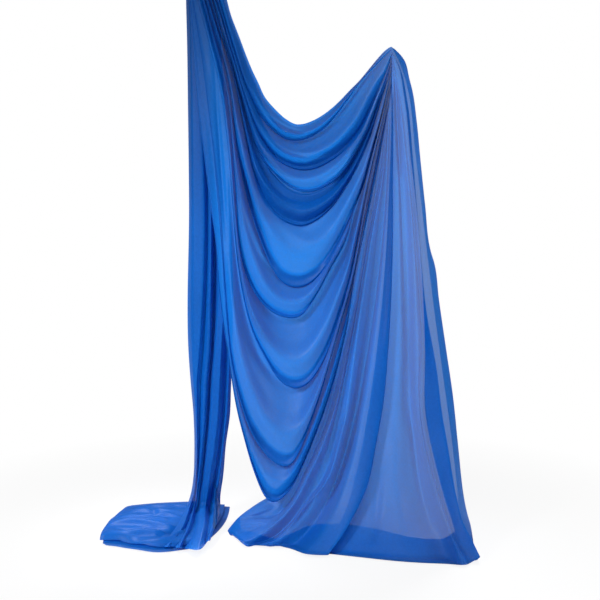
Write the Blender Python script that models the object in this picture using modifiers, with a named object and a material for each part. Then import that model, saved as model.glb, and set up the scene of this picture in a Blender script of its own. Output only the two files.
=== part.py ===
"""Aerial silks: one doubled length of nylon tricot on a figure eight, swivel and two carabiners.

Metres, +Z up. The origin is the anchor, inside the crown of the upper carabiner. X runs to the
side that the right tail is swept to, and -Y faces the viewer. The floor is ANCHOR_HEIGHT below.
"""

import math

import bmesh
import bpy
from mathutils import Matrix, Vector

# Where the whole thing hangs and lies
ANCHOR_HEIGHT = 3.250
PEAK_REACH = 0.864
PEAK_HEIGHT = 2.170
CURTAIN_DEPTH = 0.522

# Clearances between pieces that touch or run in each other
CLEARANCE = 0.0003
OVERRUN = 0.001

# Carabiners, both alike: an oval of round bar with a screwgate
BAR_DIAMETER = 0.011
CARABINER_WIDTH = 0.062
CARABINER_STRAIGHT = 0.050
STUB_LENGTH = 0.0065
GATE_DIAMETER = 0.011
TONGUE_THICKNESS = 0.004
TONGUE_LENGTH = 0.007
HINGE_PIN_RISE = 0.0100
HINGE_PIN_DIAMETER = 0.003
LATCH_PIN_DIAMETER = 0.0024
GATE_PIN_LENGTH = 0.0106
SLEEVE_LENGTH = 0.020
SLEEVE_WALL = 0.0019
SLEEVE_PLAY = 0.0004
SLEEVE_REST_RISE = 0.003
PLUNGER_DIAMETER = 0.0038
PLUNGER_LENGTH = 0.008
SPRING_WIRE = 0.0006
SPRING_LENGTH = 0.008
SPRING_TURNS = 4
COIL_SIDES = 8

# Swivel: an eye at each end of a turned barrel
EYE_BAR_DIAMETER = 0.012
EYE_HOLE_DIAMETER = 0.030
BARREL_DIAMETER = 0.044
BARREL_DROP = 0.0213
SWIVEL_EYE_SPACING = 0.0916
CAP_HEIGHT = 0.006
HOUSING_HEIGHT = 0.0197
HOUSING_WALL = 0.0045
HOUSING_FLOOR = 0.004
STEM_DIAMETER = 0.014
RACE_HEIGHT = 0.002
BALL_DIAMETER = 0.005
BALL_COUNT = 8
CAGE_SHARE = 0.4
CAGE_TURN_SHARE = 0.3
NUT_WIDTH = 0.022
NUT_HEIGHT = 0.0045

# Figure-eight descender
EIGHT_BAR_DIAMETER = 0.013
EIGHT_SMALL_HOLE = 0.025
EIGHT_LARGE_HOLE = 0.060
EIGHT_WAIST_LAP = 0.0117

# The bunched cloth of the hitch, and the cloth as solids thick enough to build
BUNCH_DIAMETER = 0.026
LEG_SPREAD = 0.0152
LEG_DROP = 0.017
CLOTH_THICKNESS = 0.003
PILE_PLY = 0.012
PLY_GAP = 0.0024
# How far the cloth leans back as a share of its fall, which brings its weight under the swivel
HANG_LEAN_SHARE = 0.0349

# Faces round a bar, ring and turned piece
BAR_SIDES = 10
RING_STEPS = 24
TURNED_STEPS = 20
BEND_STEPS = 12
GATE_SIDES = 16
PIN_SIDES = 12

BAR_RADIUS = BAR_DIAMETER / 2
GATE_RADIUS = GATE_DIAMETER / 2
EYE_BAR_RADIUS = EYE_BAR_DIAMETER / 2
EIGHT_BAR_RADIUS = EIGHT_BAR_DIAMETER / 2
BUNCH_RADIUS = BUNCH_DIAMETER / 2

for old_object in list(bpy.data.objects):
    bpy.data.objects.remove(old_object, do_unlink=True)

silks_collection = bpy.data.collections.new("aerial_silks")
cutters_collection = bpy.data.collections.new("cutters")
for collection in (silks_collection, cutters_collection):
    bpy.context.scene.collection.children.link(collection)


def principled(name, colour, roughness, metallic):
    """A material with one Principled shader."""
    material = bpy.data.materials.new(name)
    material.use_nodes = True
    shader = material.node_tree.nodes["Principled BSDF"]
    shader.inputs["Base Color"].default_value = (*colour, 1.0)
    shader.inputs["Roughness"].default_value = roughness
    shader.inputs["Metallic"].default_value = metallic
    return material


def move_to(piece, collection):
    """Leave a piece in one collection only."""
    for holder in list(piece.users_collection):
        holder.objects.unlink(piece)
    collection.objects.link(piece)
    return piece


def cutter(piece):
    """Mark a piece as a helper that is not built."""
    piece.hide_render = True
    piece.display_type = 'WIRE'
    return move_to(piece, cutters_collection)


def finished(piece, name, material, axis):
    """Name a piece, give it its material and hang it on its joint's empty."""
    piece.name = name
    piece.data.name = name
    piece.data.materials.clear()
    piece.data.materials.append(material)
    move_to(piece, silks_collection)
    if piece.type == 'MESH':
        piece.data.shade_smooth()
        piece.data.set_sharp_from_angle(angle=math.radians(35))
    piece.parent = axis
    piece.matrix_parent_inverse = Matrix.Translation(axis.location).inverted()
    return piece


def joint_axis(name, place):
    """An empty on a joint's axis."""
    empty = bpy.data.objects.new(name, None)
    empty.location = place
    silks_collection.objects.link(empty)
    return empty


def mesh_object(name, vertices, faces):
    """A mesh piece made from its corners and faces."""
    mesh = bpy.data.meshes.new(name)
    mesh.from_pydata(vertices, [], faces)
    mesh.update()
    piece = bpy.data.objects.new(name, mesh)
    silks_collection.objects.link(piece)
    return piece


def bake_scale(piece):
    """Put a piece's rotation, scale and place into its mesh."""
    piece.data.transform(piece.matrix_basis)
    piece.matrix_basis = Matrix()
    return piece


def rod(radius, length, centre, axis='Z', sides=TURNED_STEPS):
    """A solid cylinder along X, Y or Z about its centre."""
    turn = {'X': (0, math.pi / 2, 0), 'Y': (math.pi / 2, 0, 0), 'Z': (0, 0, 0)}[axis]
    bpy.ops.mesh.primitive_cylinder_add(vertices=sides, radius=radius, depth=length,
                                        location=centre, rotation=turn)
    return bake_scale(bpy.context.object)


def block(size, centre):
    """A box about its centre."""
    bpy.ops.mesh.primitive_cube_add(size=1, location=centre)
    box = bpy.context.object
    box.scale = size
    return bake_scale(box)


def eye_ring(bar_radius, hole_radius, centre):
    """A ring of round bar whose hole runs along X."""
    bpy.ops.mesh.primitive_torus_add(major_radius=hole_radius + bar_radius, minor_radius=bar_radius,
                                     major_segments=RING_STEPS, minor_segments=BAR_SIDES,
                                     location=centre, rotation=(0, math.pi / 2, 0))
    return bake_scale(bpy.context.object)


def combine(piece, other, operation):
    """Cut a piece by another, or join them into one body."""
    change = piece.modifiers.new(operation.lower(), 'BOOLEAN')
    change.operation = operation
    change.solver = 'EXACT'
    change.object = cutter(other)
    return piece


def bevelled(piece, width):
    """Round a turned block's two rims."""
    bevel = piece.modifiers.new("edges", 'BEVEL')
    bevel.width = width
    bevel.segments = 1
    bevel.limit_method = 'ANGLE'
    return piece


def tube(points, radius, bevel_steps):
    """A capped tube along a chain of points."""
    curve = bpy.data.curves.new("tube", 'CURVE')
    curve.dimensions = '3D'
    curve.bevel_depth = radius
    curve.bevel_resolution = bevel_steps
    curve.use_fill_caps = True
    spline = curve.splines.new('POLY')
    spline.points.add(len(points) - 1)
    for point, place in zip(spline.points, points):
        point.co = (*place, 1.0)
    piece = bpy.data.objects.new("tube", curve)
    silks_collection.objects.link(piece)
    return piece


def tube_mesh(points, radius, bevel_steps):
    """The same tube as a closed mesh that can be cut."""
    curve_piece = tube(points, radius, bevel_steps)
    depsgraph = bpy.context.evaluated_depsgraph_get()
    mesh = bpy.data.meshes.new_from_object(curve_piece.evaluated_get(depsgraph))
    edit = bmesh.new()
    edit.from_mesh(mesh)
    bmesh.ops.remove_doubles(edit, verts=edit.verts, dist=BAR_DIAMETER / 10000)
    edit.to_mesh(mesh)
    edit.free()
    piece = bpy.data.objects.new("tube", mesh)
    piece.matrix_world = curve_piece.matrix_world
    silks_collection.objects.link(piece)
    bpy.data.objects.remove(curve_piece, do_unlink=True)
    return piece


def turned(profile, centre):
    """A closed profile of (radius, height) points turned about Z through a centre."""
    count = len(profile)
    edges = [(index, (index + 1) % count) for index in range(count)]
    mesh = bpy.data.meshes.new("turned")
    mesh.from_pydata([(radius, 0, height) for radius, height in profile], edges, [])
    piece = bpy.data.objects.new("turned", mesh)
    piece.location = centre
    silks_collection.objects.link(piece)
    screw = piece.modifiers.new("turn", 'SCREW')
    screw.steps = TURNED_STEPS
    screw.render_steps = TURNED_STEPS
    screw.use_merge_vertices = True
    screw.merge_threshold = 0.00001
    return piece


def arc(centre_x, centre_z, radius, start, end, steps):
    """Points of an arc in the XZ plane, angles in degrees."""
    points = []
    for step in range(steps + 1):
        angle = math.radians(start + (end - start) * step / steps)
        points.append((centre_x + radius * math.cos(angle), 0, centre_z + radius * math.sin(angle)))
    return points


def catmull(values, place):
    """A smooth curve through numbers or vectors, place running from 0 to 1."""
    spans = len(values) - 1
    span = min(int(place * spans), spans - 1)
    share = place * spans - span
    before = values[span - 1] if span > 0 else values[0] * 2 - values[1]
    after = values[span + 2] if span + 2 <= spans else values[spans] * 2 - values[spans - 1]
    here = values[span]
    there = values[span + 1]
    return (here * 2 + (there - before) * share
            + (before * 2 - here * 5 + there * 4 - after) * share ** 2
            + (here * 3 - before - there * 3 + after) * share ** 3) / 2


steel = principled("zinc_plated_steel", (0.55, 0.57, 0.60), 0.32, 1.0)
sleeve_steel = principled("black_knurled_steel", (0.05, 0.05, 0.055), 0.45, 1.0)
bearing_steel = principled("bearing_steel", (0.70, 0.71, 0.73), 0.18, 1.0)
aluminium = principled("anodised_aluminium", (0.32, 0.34, 0.38), 0.35, 1.0)
tricot = principled("blue_nylon_tricot", (0.01, 0.12, 0.58), 0.55, 0.0)

# The chain of hardware, each piece hung from the one above
CARABINER_BEND = (CARABINER_WIDTH - BAR_DIAMETER) / 2
anchor_bar_z = BAR_RADIUS


def carabiner(name, crown_z, root_axis):
    """A screwgate carabiner whose crown bar is centred at crown_z. Returns its bottom bar's height."""
    upper_bend_z = crown_z - CARABINER_BEND
    lower_bend_z = upper_bend_z - CARABINER_STRAIGHT
    bottom_bar_z = lower_bend_z - CARABINER_BEND
    gate_x = CARABINER_BEND
    pin_z = lower_bend_z + HINGE_PIN_RISE
    stub_top_z = pin_z - GATE_RADIUS - CLEARANCE
    nose_end_z = upper_bend_z - STUB_LENGTH
    gate_arm = nose_end_z - pin_z
    nose_gap = math.hypot(gate_arm, GATE_RADIUS) - gate_arm + CLEARANCE
    gate_top_z = nose_end_z - nose_gap
    hinge_axis = joint_axis(name + "_gate_axis", (gate_x, 0, pin_z))

    path = [(gate_x, 0, stub_top_z)]
    path += arc(0, lower_bend_z, CARABINER_BEND, 0, -180, BEND_STEPS)
    path += arc(0, upper_bend_z, CARABINER_BEND, 180, 0, BEND_STEPS)
    path += [(gate_x, 0, nose_end_z)]
    body = tube_mesh(path, BAR_RADIUS, 3)

    tongue_radius = GATE_RADIUS - CLEARANCE * 2
    hinge_eye = rod(tongue_radius, TONGUE_THICKNESS, (gate_x, 0, pin_z), 'Y', GATE_SIDES)
    hinge_foot_height = pin_z - stub_top_z + OVERRUN
    hinge_foot = block((tongue_radius * 2, TONGUE_THICKNESS, hinge_foot_height),
                       (gate_x, 0, pin_z - hinge_foot_height / 2))
    nose_tongue = block((tongue_radius * 2, TONGUE_THICKNESS, TONGUE_LENGTH + OVERRUN),
                        (gate_x, 0, nose_end_z + (OVERRUN - TONGUE_LENGTH) / 2))
    for tongue in (hinge_eye, hinge_foot, nose_tongue):
        combine(body, tongue, 'UNION')
    pin_hole_radius = HINGE_PIN_DIAMETER / 2 + CLEARANCE
    pin_hole = rod(pin_hole_radius, BAR_DIAMETER, (gate_x, 0, pin_z), 'Y', PIN_SIDES)
    combine(body, pin_hole, 'DIFFERENCE')
    latch_z = nose_end_z - TONGUE_LENGTH / 2
    latch_arm = latch_z - pin_z
    latch_dip = latch_arm - math.sqrt(latch_arm ** 2 - GATE_RADIUS ** 2)
    notch_height = LATCH_PIN_DIAMETER + CLEARANCE * 2 + latch_dip
    notch_width = GATE_DIAMETER + LATCH_PIN_DIAMETER / 2 + CLEARANCE
    notch_x = gate_x + LATCH_PIN_DIAMETER / 2 + CLEARANCE - notch_width / 2
    combine(body, block((notch_width, BAR_DIAMETER, notch_height),
                        (notch_x, 0, latch_z - latch_dip / 2)), 'DIFFERENCE')
    finished(body, name + "_body", steel, root_axis)

    gate = rod(GATE_RADIUS, gate_top_z - pin_z, (gate_x, 0, (gate_top_z + pin_z) / 2), 'Z', GATE_SIDES)
    fork_disc = rod(GATE_RADIUS, GATE_DIAMETER, (gate_x, 0, pin_z), 'Y', RING_STEPS)
    round_stock = rod(GATE_RADIUS, GATE_DIAMETER * 2, (gate_x, 0, pin_z), 'Z', GATE_SIDES)
    combine(fork_disc, round_stock, 'INTERSECT')
    combine(gate, fork_disc, 'UNION')
    slot_width = TONGUE_THICKNESS + CLEARANCE * 2
    hinge_slot_top = pin_z + GATE_RADIUS + CLEARANCE
    hinge_slot_height = hinge_slot_top - pin_z + GATE_DIAMETER
    combine(gate, block((GATE_DIAMETER * 2, slot_width, hinge_slot_height),
                        (gate_x, 0, hinge_slot_top - hinge_slot_height / 2)), 'DIFFERENCE')
    nose_slot_depth = TONGUE_LENGTH + CLEARANCE * 3
    nose_slot_height = nose_slot_depth + GATE_DIAMETER
    nose_slot_z = nose_end_z - nose_slot_depth + nose_slot_height / 2
    combine(gate, block((GATE_DIAMETER * 2, slot_width, nose_slot_height),
                        (gate_x, 0, nose_slot_z)), 'DIFFERENCE')
    latch_hole_radius = LATCH_PIN_DIAMETER / 2 + CLEARANCE
    for hole_radius, hole_z in ((pin_hole_radius, pin_z), (latch_hole_radius, latch_z)):
        hole = rod(hole_radius, GATE_DIAMETER * 2, (gate_x, 0, hole_z), 'Y', PIN_SIDES)
        combine(gate, hole, 'DIFFERENCE')
    bore_radius = PLUNGER_DIAMETER / 2 + CLEARANCE
    plunger_tip_z = pin_z + GATE_RADIUS - CLEARANCE
    bore_top_z = plunger_tip_z + PLUNGER_LENGTH + SPRING_LENGTH + CLEARANCE * 2
    bore = rod(bore_radius, bore_top_z - pin_z, (gate_x, 0, (bore_top_z + pin_z) / 2), 'Z', PIN_SIDES)
    combine(gate, bore, 'DIFFERENCE')
    finished(gate, name + "_gate", steel, hinge_axis)

    hinge_pin = rod(HINGE_PIN_DIAMETER / 2, GATE_PIN_LENGTH, (gate_x, 0, pin_z), 'Y', PIN_SIDES)
    finished(hinge_pin, name + "_hinge_pin", bearing_steel, root_axis)
    latch_pin = rod(LATCH_PIN_DIAMETER / 2, GATE_PIN_LENGTH, (gate_x, 0, latch_z), 'Y', PIN_SIDES)
    finished(latch_pin, name + "_latch_pin", bearing_steel, hinge_axis)
    plunger = rod(PLUNGER_DIAMETER / 2, PLUNGER_LENGTH,
                  (gate_x, 0, plunger_tip_z + PLUNGER_LENGTH / 2), 'Z', PIN_SIDES)
    finished(plunger, name + "_gate_plunger", bearing_steel, hinge_axis)

    coil_radius = PLUNGER_DIAMETER / 2 - SPRING_WIRE / 2
    coil_bottom_z = plunger_tip_z + PLUNGER_LENGTH + CLEARANCE + SPRING_WIRE / 2
    coil_height = SPRING_LENGTH - SPRING_WIRE - CLEARANCE
    coil_steps = SPRING_TURNS * COIL_SIDES
    coil = []
    for step in range(coil_steps + 1):
        angle = math.tau * step / COIL_SIDES
        coil.append((gate_x + coil_radius * math.cos(angle), coil_radius * math.sin(angle),
                     coil_bottom_z + coil_height * step / coil_steps))
    finished(tube(coil, SPRING_WIRE / 2, 1), name + "_gate_spring", bearing_steel, hinge_axis)

    sleeve_inner = GATE_RADIUS + SLEEVE_PLAY
    sleeve_outer = sleeve_inner + SLEEVE_WALL
    sleeve_bottom_z = pin_z + SLEEVE_REST_RISE
    chamfer = SLEEVE_WALL / 3
    half = SLEEVE_LENGTH / 2
    sleeve = turned([(sleeve_outer - chamfer, half), (sleeve_outer, half - chamfer),
                     (sleeve_outer, chamfer - half), (sleeve_outer - chamfer, -half),
                     (sleeve_inner, -half), (sleeve_inner, half)],
                    (gate_x, 0, sleeve_bottom_z + half))
    sleeve_axis = joint_axis(name + "_sleeve_axis", (gate_x, 0, sleeve_bottom_z + half))
    finished(sleeve, name + "_sleeve", sleeve_steel, sleeve_axis)
    return bottom_bar_z


anchor_axis = joint_axis("anchor_point", (0, 0, 0))
anchor_bottom_z = carabiner("anchor_carabiner", anchor_bar_z, anchor_axis)

# Swivel: its upper eye hangs on the anchor carabiner's bottom bar
eye_hole_radius = EYE_HOLE_DIAMETER / 2
upper_eye_z = anchor_bottom_z + BAR_RADIUS + CLEARANCE - eye_hole_radius
lower_eye_z = upper_eye_z - SWIVEL_EYE_SPACING
barrel_radius = BARREL_DIAMETER / 2
cap_top_z = upper_eye_z - BARREL_DROP
cap_bottom_z = cap_top_z - CAP_HEIGHT
housing_top_z = cap_bottom_z - CLEARANCE
housing_bottom_z = housing_top_z - HOUSING_HEIGHT
housing_bore = barrel_radius - HOUSING_WALL
stem_radius = STEM_DIAMETER / 2
stem_play = CLEARANCE * 2
floor_top_z = housing_bottom_z + HOUSING_FLOOR
lower_race_z = floor_top_z + CLEARANCE + RACE_HEIGHT / 2
ball_z = lower_race_z + RACE_HEIGHT / 2 + CLEARANCE + BALL_DIAMETER / 2
upper_race_z = ball_z + BALL_DIAMETER / 2 + CLEARANCE + RACE_HEIGHT / 2
nut_z = upper_race_z + RACE_HEIGHT / 2 + CLEARANCE + NUT_HEIGHT / 2
stem_top_z = nut_z + NUT_HEIGHT / 2
race_outer = housing_bore - CLEARANCE
race_inner = stem_radius + stem_play
ball_circle = (race_outer + race_inner) / 2
edge_round = CAP_HEIGHT / 5

swivel_swing_axis = joint_axis("swivel_swing_axis", (0, 0, anchor_bottom_z))
cap = rod(barrel_radius, CAP_HEIGHT, (0, 0, (cap_top_z + cap_bottom_z) / 2))
swivel_eye = bevelled(cap, edge_round)
combine(swivel_eye, eye_ring(EYE_BAR_RADIUS, eye_hole_radius, (0, 0, upper_eye_z)), 'UNION')
finished(swivel_eye, "swivel_upper_eye", steel, swivel_swing_axis)

housing = turned([(barrel_radius, housing_top_z), (barrel_radius, housing_bottom_z + edge_round),
                  (barrel_radius - edge_round, housing_bottom_z), (race_inner, housing_bottom_z),
                  (race_inner, floor_top_z), (housing_bore, floor_top_z), (housing_bore, housing_top_z)],
                 (0, 0, 0))
finished(housing, "swivel_housing", aluminium, swivel_swing_axis)


def washer(name, centre_z, axis):
    """A flat bearing race between the stem and the housing's bore."""
    half = RACE_HEIGHT / 2
    race = turned([(race_outer, half), (race_outer, -half), (race_inner, -half), (race_inner, half)],
                  (0, 0, centre_z))
    finished(race, name, bearing_steel, axis)


swivel_spin_axis = joint_axis("swivel_spin_axis", (0, 0, housing_bottom_z))
swivel_cage_axis = joint_axis("swivel_cage_axis", (0, 0, ball_z))
washer("swivel_lower_race", lower_race_z, swivel_swing_axis)
washer("swivel_upper_race", upper_race_z, swivel_spin_axis)

ball_radius = BALL_DIAMETER / 2
cage_play = CLEARANCE * 2
cage_inner = race_inner + cage_play
cage_outer = race_outer - cage_play
cage_half = BALL_DIAMETER * CAGE_SHARE / 2
cage = turned([(cage_outer, cage_half), (cage_outer, -cage_half), (cage_inner, -cage_half),
               (cage_inner, cage_half)], (0, 0, ball_z))
for index in range(BALL_COUNT):
    angle = math.tau * (index + CAGE_TURN_SHARE) / BALL_COUNT
    place = (ball_circle * math.cos(angle), ball_circle * math.sin(angle), ball_z)
    pocket = rod(ball_radius + CLEARANCE, BALL_DIAMETER, place, 'Z', BAR_SIDES)
    combine(cage, pocket, 'DIFFERENCE')
    bpy.ops.mesh.primitive_uv_sphere_add(segments=8, ring_count=6, radius=ball_radius,
                                         location=place)
    ball = bake_scale(bpy.context.object)
    finished(ball, "swivel_ball_" + str(index + 1), bearing_steel, swivel_cage_axis)
finished(cage, "swivel_ball_cage", bearing_steel, swivel_cage_axis)

nut = rod(NUT_WIDTH / 2, NUT_HEIGHT, (0, 0, nut_z), 'Z', 6)
combine(nut, rod(stem_radius + CLEARANCE, NUT_HEIGHT * 2, (0, 0, nut_z)), 'DIFFERENCE')
finished(nut, "swivel_stem_nut", bearing_steel, swivel_spin_axis)

block_top_z = housing_bottom_z - CLEARANCE * 2
block_bottom_z = lower_eye_z + BARREL_DROP
stem_eye = bevelled(rod(barrel_radius, block_top_z - block_bottom_z,
                        (0, 0, (block_top_z + block_bottom_z) / 2)), edge_round)
stem_length = stem_top_z - block_top_z + OVERRUN
combine(stem_eye, rod(stem_radius, stem_length, (0, 0, stem_top_z - stem_length / 2)), 'UNION')
combine(stem_eye, eye_ring(EYE_BAR_RADIUS, eye_hole_radius, (0, 0, lower_eye_z)), 'UNION')
finished(stem_eye, "swivel_stem_eye", steel, swivel_spin_axis)

# Lower carabiner: its crown bar lies in the swivel's lower eye
lower_bar_z = lower_eye_z - eye_hole_radius + CLEARANCE + BAR_RADIUS
carabiner_swing_axis = joint_axis("carabiner_swing_axis", (0, 0, lower_bar_z))
lower_bottom_z = carabiner("lower_carabiner", lower_bar_z, carabiner_swing_axis)

# Figure eight: its small ring hangs on the lower carabiner's bottom bar
small_hole_radius = EIGHT_SMALL_HOLE / 2
large_hole_radius = EIGHT_LARGE_HOLE / 2
small_ring_radius = small_hole_radius + EIGHT_BAR_RADIUS
large_ring_radius = large_hole_radius + EIGHT_BAR_RADIUS
small_ring_z = lower_bottom_z + BAR_RADIUS + CLEARANCE - small_hole_radius
ring_spacing = small_ring_radius + large_ring_radius + EIGHT_BAR_DIAMETER - EIGHT_WAIST_LAP
large_ring_z = small_ring_z - ring_spacing
eight_swing_axis = joint_axis("figure_eight_swing_axis", (0, 0, lower_bottom_z))
figure_eight = eye_ring(EIGHT_BAR_RADIUS, large_hole_radius, (0, 0, large_ring_z))
combine(figure_eight, eye_ring(EIGHT_BAR_RADIUS, small_hole_radius, (0, 0, small_ring_z)), 'UNION')
finished(figure_eight, "figure_eight", aluminium, eight_swing_axis)

# Silk hitch: the middle of the cloth, bunched, goes round the waist of the eight and through its
# large ring, and its two legs hang side by side, the left tail's behind and the right tail's in front
wrap_reach = EIGHT_BAR_RADIUS + BUNCH_RADIUS + CLEARANCE
from_large = large_ring_radius + wrap_reach
from_small = small_ring_radius + wrap_reach
waist_drop = (from_small ** 2 - from_large ** 2 + ring_spacing ** 2) / (2 * ring_spacing)
waist_z = small_ring_z - waist_drop
waist_y = math.sqrt(from_small ** 2 - waist_drop ** 2)
tail_top_z = large_ring_z - large_ring_radius - EIGHT_BAR_RADIUS - LEG_DROP
ring_inside_z = large_ring_z + large_hole_radius
# The route's places from a leg's end to the middle of the wrap: reach across and drop in shares of
# the wrap's reach and the bunch's radius, spread in shares of the legs' spread, then of the waist's
HITCH_REACH_SHARES = [-0.80, -1.08, -0.85, 0.12, 1.00, 1.04, 0.10, -0.92, -1.10]
HITCH_DROP_SHARES = [0.0, -2.09, 0.90, 1.90, 0.90, 0.30, -0.05, -0.10, 0.0]
HITCH_LEG_SHARES = [1.0, 1.0, 1.0, 1.0, 1.15]
HITCH_WAIST_SHARES = [0.72, 1.06, 0.76, 0.0]
hitch_levels = [tail_top_z] * 2 + [large_ring_z] + [ring_inside_z] * 2 + [waist_z] * 4
hitch_spreads = [LEG_SPREAD * share for share in HITCH_LEG_SHARES]
hitch_spreads += [waist_y * share for share in HITCH_WAIST_SHARES]
half_route = []
for reach, spread, level, drop in zip(HITCH_REACH_SHARES, hitch_spreads, hitch_levels, HITCH_DROP_SHARES):
    half_route.append(Vector((wrap_reach * reach, spread, level - BUNCH_RADIUS * drop)))
route = half_route + [Vector((place.x, -place.y, place.z)) for place in reversed(half_route[:-1])]
HITCH_STEPS = 44
hitch_points = [catmull(route, step / HITCH_STEPS) for step in range(HITCH_STEPS + 1)]
for end in (0, -1):
    inward = 1 if end == 0 else -2
    hitch_points[end].x = hitch_points[inward].x
    hitch_points[end].y = hitch_points[inward].y
hitch = tube_mesh(hitch_points, BUNCH_RADIUS, 2)
finished(hitch, "silk_hitch", tricot, eight_swing_axis)
leg_x = hitch_points[0].x
cloth_top_z = tail_top_z - CLEARANCE * 3


def cloth(name, rows, thickness):
    """A closed shell of one thickness on rows of points."""
    width = len(rows[0])
    vertices = []
    for row in rows:
        for point in row:
            vertices.append(point + Vector((0, HANG_LEAN_SHARE * (cloth_top_z - point.z), 0)))
    faces = []
    for row in range(len(rows) - 1):
        for column in range(width - 1):
            corner = row * width + column
            faces.append((corner, corner + 1, corner + width + 1, corner + width))
    piece = mesh_object(name, vertices, faces)
    shell = piece.modifiers.new("thickness", 'SOLIDIFY')
    shell.thickness = thickness
    shell.offset = 0
    return finished(piece, name, tricot, eight_swing_axis)


def rise(share):
    """A height above the floor: up to 1 a share of the peak's height, and beyond 1 the rest is a
    share of the way on from the peak's height to the cloth's top."""
    peak_z = PEAK_HEIGHT - ANCHOR_HEIGHT
    if share > 1:
        return peak_z + (cloth_top_z - peak_z) * (share - 1)
    return PEAK_HEIGHT * share - ANCHOR_HEIGHT


def eased(share):
    """A smooth step from 0 to 1."""
    share = min(max(share, 0.0), 1.0)
    return share * share * (3 - 2 * share)


# How much of a half turn round a hitch leg the pleats of a tail take up
PLEAT_SPAN_SHARE = 0.9


def bunch_point(leg_y, side, share):
    """A place round a hitch leg's end, where a tail's pleats leave it: share runs from 0 at +X to 1
    at -X, and side is 1 behind the leg or -1 in front of it."""
    angle = side * math.pi * (0.5 + (share - 0.5) * PLEAT_SPAN_SHARE)
    radius = BUNCH_RADIUS - CLOTH_THICKNESS / 2
    return Vector((leg_x + radius * math.cos(angle), leg_y + radius * math.sin(angle), cloth_top_z))


def share_at(keys, u, index):
    """One number of a table of key lines, read smoothly between the lines."""
    return catmull([key[index] for key in keys], u)


# Right tail's swag: each key line runs from the peak down, across and up to the hitch, as
# (share of the peak's reach, share of the peak's height) at the same eight places
SWAG_LINE_SHARES = [
    [(0.905, 0.945), (0.775, 0.890), (0.645, 0.848), (0.535, 0.835), (0.425, 0.862), (0.315, 0.930),
     (0.235, 1.033), (0.170, 1.318)],
    [(0.955, 0.895), (0.825, 0.795), (0.685, 0.725), (0.555, 0.700), (0.435, 0.722), (0.315, 0.800),
     (0.210, 0.910), (0.125, 1.318)],
    [(0.935, 0.835), (0.830, 0.705), (0.710, 0.590), (0.570, 0.535), (0.440, 0.565), (0.320, 0.660),
     (0.205, 0.810), (0.085, 1.318)],
    [(0.915, 0.755), (0.825, 0.565), (0.690, 0.385), (0.525, 0.305), (0.395, 0.345), (0.285, 0.450),
     (0.165, 0.670), (0.045, 1.318)],
    [(0.895, 0.665), (0.770, 0.395), (0.625, 0.205), (0.455, 0.085), (0.330, 0.120), (0.225, 0.280),
     (0.095, 0.630), (-0.015, 1.318)],
]
# How far forward each key line hangs, and the same eight places' shares of it
SWAG_FORWARD_SHARES = [0.10, 0.16, 0.22, 0.31, 0.42]
SWAG_PLACE_SHARES = [0.35, 0.70, 0.95, 1.00, 0.90, 0.60, 0.28, 0.10]
SWAG_STANDOFF = 0.034
SWAG_STANDOFF_SHARES = [0, 0, 0, 0.1, 0.3, 0.6, 1.0, 1.0]
SWAG_FOLD_DEPTH = 0.020
SWAG_LINES = 20
SWAG_STEPS = 26
PEAK_GATHER = 0.030
PEAK_SAG_SHARE = 0.3
# How soon the folds reach their full depth away from the gathered ends
FOLD_EASE_SHARE = 0.6


def swag_point(u, t):
    """A place on the swag, u across its pleats from the top edge and t along them from the peak."""
    peak = Vector((PEAK_REACH - PEAK_GATHER * (1 - u), 0, rise(1) - PEAK_GATHER * PEAK_SAG_SHARE * u))
    stations = [peak]
    forward = catmull(SWAG_FORWARD_SHARES, u) * CURTAIN_DEPTH
    for index, place_share in enumerate(SWAG_PLACE_SHARES):
        x_share = catmull([key[index][0] for key in SWAG_LINE_SHARES], u)
        z_share = catmull([key[index][1] for key in SWAG_LINE_SHARES], u)
        depth = forward * place_share + SWAG_STANDOFF * SWAG_STANDOFF_SHARES[index]
        stations.append(Vector((x_share * PEAK_REACH, -depth, rise(z_share))))
    stations.append(bunch_point(-LEG_SPREAD, -1, u))
    point = catmull(stations, t)
    fold = math.sin((u * (SWAG_LINES - 1) - SWAG_LINES + 2) * math.pi / 2)
    point.y -= SWAG_FOLD_DEPTH * fold * math.sin(math.pi * t) ** FOLD_EASE_SHARE
    return point


swag_rows = []
for step in range(SWAG_STEPS):
    place = step / (SWAG_STEPS - 1)
    row = [swag_point(line / (SWAG_LINES - 1), place) for line in range(SWAG_LINES)]
    swag_rows.append(row)
cloth("right_tail_swag", swag_rows, CLOTH_THICKNESS)

# Right tail's curtain: each key line falls from the peak to the hem at these heights, as shares
# of the peak's reach across and of the curtain's depth forward
CURTAIN_HEIGHT_SHARES = [1.0, 0.80, 0.60, 0.40, 0.20, 0.06, 0.0]
CURTAIN_REACH_SHARES = [
    [1.000, 0.945, 0.868, 0.775, 0.620, 0.450, 0.385],
    [1.012, 0.985, 0.925, 0.850, 0.735, 0.590, 0.540],
    [1.020, 1.030, 1.015, 0.985, 0.895, 0.800, 0.760],
    [1.030, 1.060, 1.080, 1.100, 1.135, 1.220, 1.320],
    [1.035, 1.085, 1.155, 1.230, 1.300, 1.360, 1.406],
    [1.045, 1.155, 1.225, 1.300, 1.375, 1.430, 1.450],
]
CURTAIN_FORWARD_SHARES = [
    [0.00, 0.065, 0.165, 0.270, 0.385, 0.405, 0.470],
    [0.00, 0.075, 0.150, 0.250, 0.385, 0.560, 0.685],
    [0.00, 0.060, 0.135, 0.235, 0.385, 0.600, 0.770],
    [0.00, 0.060, 0.135, 0.250, 0.420, 0.700, 0.990],
    [-0.01, 0.040, 0.115, 0.230, 0.420, 0.700, 0.930],
    [-0.06, -0.060, -0.080, -0.100, -0.120, -0.140, -0.145],
]
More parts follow.
